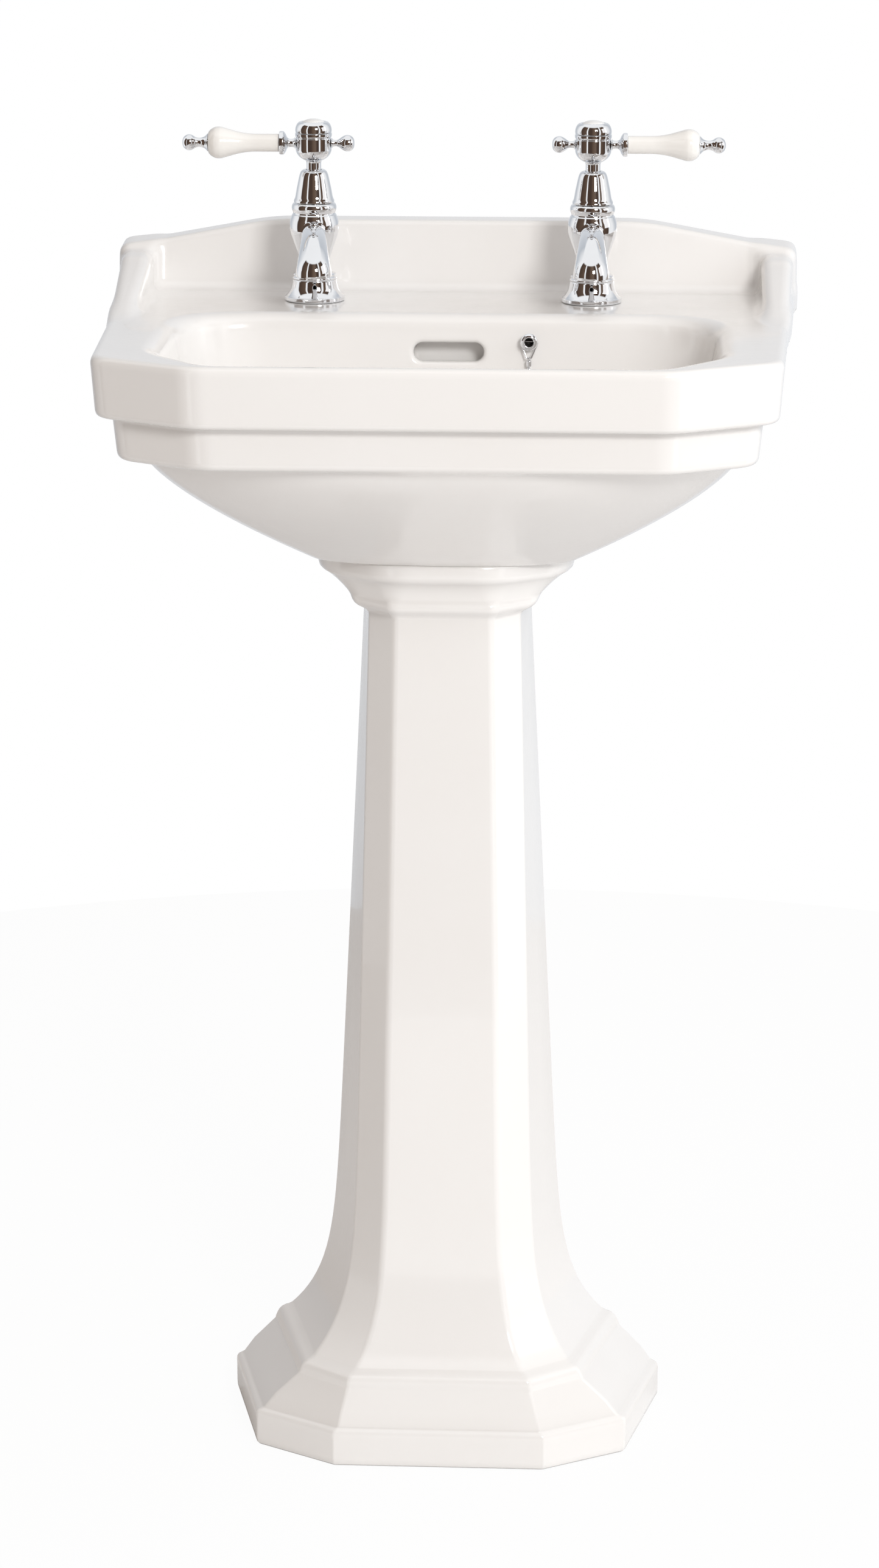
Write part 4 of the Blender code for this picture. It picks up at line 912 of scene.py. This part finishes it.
def make_waste():
    low = BOWL_FLOOR_Z + 0.0018
    part(AT_WASTE, "waste_seal",
         tube(0.0209, 0.0255, BOWL_FLOOR_Z + GAP, BOWL_FLOOR_Z + 0.0015, 0.0003))
    lip = bow([
        (0.0284, low + 0.0008), (0.0277, low + 0.0016), (0.0262, FLANGE_TOP), (0.0240, FLANGE_TOP),
        (0.0222, FLANGE_TOP - 0.0006), (0.0206, FLANGE_TOP - 0.0016), (0.0190, FLANGE_TOP - 0.0032)], 4)
    threads = []
    for k in range(18):
        h = 0.6310 + 0.0018 * k
        threads += [(0.0205, h), (0.0199, h + 0.0009)]
    body = turned([(0.0165, 0.6300), (0.0205, 0.6300)] + threads + [(0.0205, low), (0.0285, low)] + lip + [
        (0.0180, FLANGE_TOP - 0.0090), (0.0165, FLANGE_TOP - 0.0120)], 0.0002, 64)
    slots = block(at(0, 0, 0.6765) @ Matrix.Diagonal((0.018, 0.060, 0.008, 1)))
    part(AT_WASTE, "waste_body", combined(body, slots, "DIFFERENCE"), 42)
    part(AT_WASTE, "waste_washer", tube(0.0209, 0.0280, 0.6570, 0.6597, 0.0004))
    part(AT_WASTE, "waste_backnut", hexagon(0.0285, 0.6487, 0.6567, 0.0208), 30)


def make_plug():
    place = AT_WASTE @ at(0, 0, PLUG_TOP)
    top = bow([(0.0186, 0), (0.0150, 0.0004), (0.0100, 0.0009), (0.0056, 0.0012)], 4)
    part(place, "plug", turned([
        (0, -0.0105), (0.0155, -0.0105), (0.0168, -0.0095), (0.0172, -0.0072), (0.0169, -0.0068),
        (0.0177, -0.0040), (0.0182, -0.0020), (0.0194, -0.0006)] + top + [
        (0.0050, 0.0010), (0.0050, -0.0040), (0, -0.0040)], 0.0004, 64))
    stalk = bow([
        (0.0036, 0.0030), (0.0027, 0.0036), (0.0029, 0.0052), (0.0032, 0.0068), (0.0026, 0.0086),
        (0.0012, 0.0095), (0, 0.0096)], 4)
    eye = turned([(0, -0.0036), (0.0046, -0.0036), (0.0046, 0.0018)] + stalk, 0.0003, 40)
    hole = moved(rod(0.0014, -0.006, 0.006, 0.0001, 24),
                 at(0, 0, 0.0062) @ spun(math.pi / 2, "X"))
    part(place, "plug_eye", combined(eye, hole, "DIFFERENCE"), 40)
    reach = 0.0048
    turns = [2 * math.pi * k / 48 for k in range(48)]
    wire = [(reach + reach * math.cos(a), reach * 1.25 * math.sin(a), 0.0062) for a in turns]
    part(place, "plug_ring", swept(wire, [0.0007] * len(wire), 12, closed=True))


def make_stay():
    """Chain stay on the bowl's back wall: a stud with a hollow dome, its fixings and a wire link."""
    lay = spun(math.pi / 2, "X")
    place = at(*STAY)
    dome = bow([
        (0.0056, 0.0052), (0.0061, 0.0059), (0.0062, 0.0067), (0.0058, 0.0078), (0.0049, 0.0086),
        (0.0040, 0.0089), (0.0034, 0.0087), (0.0030, 0.0078), (0.0029, 0.0060), (0.0028, 0.0030)], 4)
    stud = turned([
        (0, -0.0240), (0.0028, -0.0240), (0.0028, 0.0009), (0.0046, 0.0009), (0.0046, 0.0018),
        (0.0030, 0.0022), (0.0030, 0.0050)] + dome + [(0.0020, 0.0016), (0, 0.0014)],
                  0.0003, 48)
    cross = moved(rod(0.0010, -0.006, 0.006, 0.0001, 20),
                  at(0, -0.0036, 0) @ spun(math.pi / 2, "Y"))
    part(place, "chain_stay_stud", combined(moved(stud, lay), cross, "DIFFERENCE"), 42)
    made = bpy.data.objects["chain_stay_stud_fine"]
    # Faces inside the dome's hole take a near-black colour: painted shade for the hole's dark inside.
    made.data.materials.append(LOOKS["painted_shade_well"])
    for face in made.data.polygons:
        spot = face.center - Vector(STAY)
        if math.hypot(spot.x, spot.z) < 0.0031 and -0.0080 < spot.y < -0.0010:
            face.material_index = 1
    washer = tube(0.0031, 0.0056, 0, 0.0010, 0.0002, 40)
    nut = hexagon(0.0052, 0.0, 0.0035, 0.0031)
    part(at(STAY[0], 0.0533, STAY[2]) @ lay, "chain_stay_washer", washer)
    part(at(STAY[0], 0.0571, STAY[2]) @ lay, "chain_stay_nut", nut, 30)
    half, drop, foot = 0.0066, 0.0120, 0.0016
    corners = [(half, 0.0), (-half, 0.0), (-foot, -drop), (foot, -drop)]
    outline = [(p.x, p.y) for p in eased(corners, 0.0014, True, 6)]
    outline = [q for a, b in zip(outline, outline[1:] + outline[:1])
               for q in (a, ((a[0] + b[0]) / 2, (a[1] + b[1]) / 2))]
    wire = [(x, -0.0036 - 0.18 * abs(z), z) for x, z in outline]
    part(place, "chain_stay_link", swept(wire, [0.0006] * len(wire), 12, closed=True))


def make_trap():
    """The bottle trap under the waste, and its pipe to the wall."""
    part(AT_WASTE, "trap_washer", tube(0.0168, 0.0205, 0.6275, 0.6297, 0.0003))
    part(AT_WASTE, "trap_inlet_nut", ribbed(turned([
        (0.0208, 0.6420), (0.0208, 0.6235), (0.0180, 0.6235), (0.0180, 0.6205),
        (0.0222, 0.6205), (0.0238, 0.6225), (0.0238, 0.6420)], 0.0005, 96), 0.0230), 50)
    body = turned([
        (0.0145, 0.6270), (0.0145, 0.5050), (0.0163, 0.5050), (0.0163, 0.5950), (0.0215, 0.5950),
        (0.0215, 0.5400), (0.0242, 0.5400), (0.0242, 0.6020), (0.0175, 0.6110), (0.0175, 0.6238),
        (0.0205, 0.6238), (0.0205, 0.6270)], 0.0012, 64)
    lay = at(0, 0, 0.5750) @ spun(-math.pi / 2, "X")
    arm = moved(rod(0.0182, 0.0225, 0.0520, 0.0005, 48), lay)
    body = combined(body, arm, "UNION")
    way = moved(rod(0.0162, 0.0190, 0.0600, 0.0003, 48), lay)
    part(AT_WASTE, "trap_body", combined(body, way, "DIFFERENCE"), 42)
    part(AT_WASTE, "trap_cup", ribbed(turned([
        (0, 0.4800), (0.0190, 0.4800), (0.0238, 0.4860), (0.0238, 0.5397), (0.0208, 0.5397),
        (0.0208, 0.4880), (0.0170, 0.4835), (0, 0.4835)], 0.0015, 96), 0.0232, 0.5050), 50)
    nut = turned([
        (0.0185, 0.0400), (0.0222, 0.0400), (0.0222, 0.0600), (0.0165, 0.0600), (0.0165, 0.0525),
        (0.0185, 0.0525)], 0.0005, 96)
    part(AT_WASTE, "trap_outlet_nut", moved(ribbed(nut, 0.0215), lay), 50)
    pipe = tube(0.0138, 0.0159, 0.0480, WALL_Y + GAP - WASTE_Y, 0.0004, 64)
    part(AT_WASTE, "waste_pipe", moved(pipe, lay))


def ribbed(bm, least, above=0.0):
    """Draws in every second pair of a turned piece's outermost points, as finger grips."""
    for vert in bm.verts:
        radius = math.hypot(vert.co.x, vert.co.y)
        if radius < least or vert.co.z < above:
            continue
        turn = round(math.atan2(vert.co.y, vert.co.x) / (2 * math.pi) * 96) % 6
        if turn in (0, 1):
            vert.co.x *= 1 - 0.0007 / radius
            vert.co.y *= 1 - 0.0007 / radius
    return bm


# ---- Ball chain ----
CHAIN_ROUTE = [
    (0.0585, 0.0332, 0.8056), (0.0584, 0.0333, 0.7880), (0.0578, 0.0328, 0.7700),
    (0.0570, 0.0320, 0.7520), (0.0560, 0.0309, 0.7350), (0.0552, 0.0296, 0.7190),
    (0.0552, 0.0262, 0.7060), (0.0590, 0.0180, 0.6976), (0.0700, 0.0090, 0.6972),
    (0.0880, 0.0040, 0.7014), (0.1050, -0.0040, 0.7058), (0.1110, -0.0190, 0.7084),
    (0.1000, -0.0310, 0.7042), (0.0820, -0.0320, 0.6996), (0.0630, -0.0250, 0.6958),
    (0.0440, -0.0140, 0.6930), (0.0380, -0.0112, 0.6936), (0.0325, -0.0088, 0.6955),
    (0.0270, -0.0064, 0.6971), (0.0220, -0.0046, 0.6982), (0.0173, -0.0040, 0.6990),
]
BALL_R = 0.0016
BALL_PITCH = 0.0042


def along_route(path, pitch):
    """Evenly spaced points on a path, ends included, and how far along each one lies."""
    points = np.array(path)
    run = np.concatenate([[0], np.cumsum(np.linalg.norm(np.diff(points, axis=0), axis=1))])
    marks = np.linspace(0, run[-1], max(2, round(run[-1] / pitch)) + 1)
    return np.stack([np.interp(marks, run, points[:, a]) for a in range(3)], 1), marks


def make_chain():
    """Hollow balls on short links."""
    path = bow(CHAIN_ROUTE, 12)
    spots, marks = along_route(path, BALL_PITCH)
    spots[0] += (spots[1] - spots[0]) * 0.38
    spots[-1] += (spots[-2] - spots[-1]) * 0.38
    bm = bmesh.new()
    for spot in spots:
        made = bmesh.ops.create_uvsphere(bm, u_segments=14, v_segments=8, radius=BALL_R)
        bmesh.ops.translate(bm, verts=made["verts"], vec=spot)
    for a, b in zip(spots, spots[1:]):
        way = Vector(b - a)
        turn = way.to_track_quat("Z", "Y").to_matrix().to_4x4()
        matrix = Matrix.Translation((Vector(a) + Vector(b)) / 2) @ turn
        bmesh.ops.create_cone(bm, cap_ends=True, segments=8, radius1=0.00055, radius2=0.00055,
                              depth=way.length - 1.6 * BALL_R, matrix=matrix)
    mesh = bpy.data.meshes.new("ball_chain")
    bm.to_mesh(mesh)
    bm.free()
    chain = linked("ball_chain", mesh)
    mesh.shade_smooth()
    mesh.set_sharp_from_angle(angle=math.radians(50))
    mesh.materials.append(LOOKS["chrome"])
    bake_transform(chain)
    weigh_by_length(chain, spots)
    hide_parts("chain_slack", "chain_tail")


def weigh_by_length(chain, spots):
    """Finds the ball nearest to each of the chain's vertices; nothing uses the result."""
    co = np.array([v.co for v in chain.data.vertices])
    near = ((co[:, None, :] - spots[None]) ** 2).sum(2).argmin(1)


def make_clasps():
    shape = [(0, 0.0)] + bow([
        (0.0010, 0.0), (0.0017, 0.0004), (0.0019, 0.0012), (0.0019, 0.0036), (0.0017, 0.0044),
        (0.0010, 0.0048)], 4) + [(0, 0.0048)]
    x, y, z = CHAIN_ROUTE[0]
    part(at(x, y, z + GAP), "chain_top_clasp", turned(shape, 0.0002, 32))
    x, y, z = CHAIN_ROUTE[-1]
    lay = at(x - GAP, y, z) @ spun(-math.pi / 2, "Y")
    part(lay, "chain_end_clasp", turned([(r, 1.2 * h) for r, h in shape], 0.0002, 32))


# ---- Studio ----
DIM_SIDE, LIT_SIDE = (0.33, 0.275, 0.235), (0.90, 0.905, 0.915)
FLOOR_R = 1.35


def make_light(name, place, aim, size, power, colour):
    data = bpy.data.lights.new(name, "AREA")
    data.shape = "RECTANGLE"
    data.size, data.size_y = size
    data.energy = power
    data.color = colour
    made = linked(name, data)
    made.location = place
    made.rotation_euler = (Vector(aim) - Vector(place)).to_track_quat("-Z", "Y").to_euler()


def make_world():
    """White all round, but a dark room in front for whatever mirrors it."""
    world = bpy.data.worlds.new("studio")
    bpy.context.scene.world = world
    world.use_nodes = True
    tree = world.node_tree
    tree.nodes.clear()
    place = tree.nodes.new("ShaderNodeTexCoord")
    parts = tree.nodes.new("ShaderNodeSeparateXYZ")
    tree.links.new(place.outputs["Generated"], parts.inputs[0])
    x, y, z = parts.outputs
    azimuth = maths(tree, "ARCTAN2", x, maths(tree, "MULTIPLY", y, -1.0))
    share = maths(tree, "ADD", maths(tree, "MULTIPLY", azimuth, 0.5 / math.pi), 0.5)
    steps = tree.nodes.new("ShaderNodeValToRGB")
    pale, white = (0.80, 0.82, 0.85), (1.0, 1.0, 1.0)
    dark, deep = (0.13, 0.085, 0.060), (0.07, 0.045, 0.034)
    stops = [  # share of the way round, where 0.5 faces the user, then the colour seen there
        (0.00, pale), (0.12, (0.58, 0.61, 0.65)), (0.20, white), (0.262, white), (0.275, deep),
        (0.380, dark), (0.386, white), (0.404, white), (0.410, deep), (0.470, deep), (0.500, dark),
        (0.545, (0.17, 0.12, 0.09)), (0.575, deep), (0.604, deep), (0.610, white), (0.632, white),
        (0.638, dark), (0.725, deep), (0.738, white), (0.80, white), (0.88, (0.60, 0.63, 0.67)),
        (1.00, pale)]
    ramp = steps.color_ramp
    while len(ramp.elements) < len(stops):
        ramp.elements.new(0.5)
    for element, (where, colour) in zip(ramp.elements, stops):
        element.position = where
        element.color = (*colour, 1.0)
    tree.links.new(share, steps.inputs[0])
    above = spread(tree, z, 0.0, 1.0, 0.72, 0.80, "SMOOTHSTEP")
    room = mixed(tree, above, steps.outputs["Color"], white)
    side = spread(tree, x, 0.0, 1.0, -0.9, 0.9, "SMOOTHSTEP")
    ray = tree.nodes.new("ShaderNodeLightPath")

    def backdrop(colour):
        made = tree.nodes.new("ShaderNodeBackground")
        feed(tree, made.inputs["Color"], colour)
        return made.outputs[0]

    light = backdrop(mixed(tree, side, DIM_SIDE, LIT_SIDE))
    light = joined(tree, ray.outputs["Is Glossy Ray"], light, backdrop(room))
    light = joined(tree, ray.outputs["Is Camera Ray"], light, backdrop(white))
    output = tree.nodes.new("ShaderNodeOutputWorld")
    tree.links.new(light, output.inputs["Surface"])


def whiten_floor(made):
    """The floor reads as the white sweep behind the object, with a faint shadow on it."""
    tree = made.node_tree
    glow = tree.nodes.new("ShaderNodeEmission")
    ray = tree.nodes.new("ShaderNodeLightPath")
    share = maths(tree, "MULTIPLY", ray.outputs["Is Camera Ray"], 0.95)
    look = joined(tree, share, tree.nodes["Principled BSDF"].outputs[0], glow.outputs[0])
    tree.links.new(look, tree.nodes["Material Output"].inputs["Surface"])


def make_studio():
    bm = bmesh.new()
    bmesh.ops.create_circle(bm, cap_ends=True, segments=96, radius=FLOOR_R)
    mesh = bpy.data.meshes.new("floor")
    bm.to_mesh(mesh)
    bm.free()
    floor = linked("floor", mesh)
    floor.location.z = -0.0005
    mesh.materials.append(LOOKS["pale_floor"])
    whiten_floor(LOOKS["pale_floor"])
    make_world()
    bpy.context.scene.view_settings.view_transform = "Standard"
    make_light("key", (1.10, -2.60, 2.10), (0.0, 0.0, 0.6), (0.7, 0.7), 45.0, (1.0, 0.99, 0.975))
    make_light("side", (2.60, -0.55, 1.70), (0.0, 0.0, 0.5), (1.5, 1.5), 7.0, (1.0, 1.0, 1.0))


LOOKS = make_materials()
make_camera()
make_clasps()
make_plug()
make_chain()
make_basin()
make_pedestal()
make_taps()
make_waste()
make_stay()
make_trap()
make_studio()
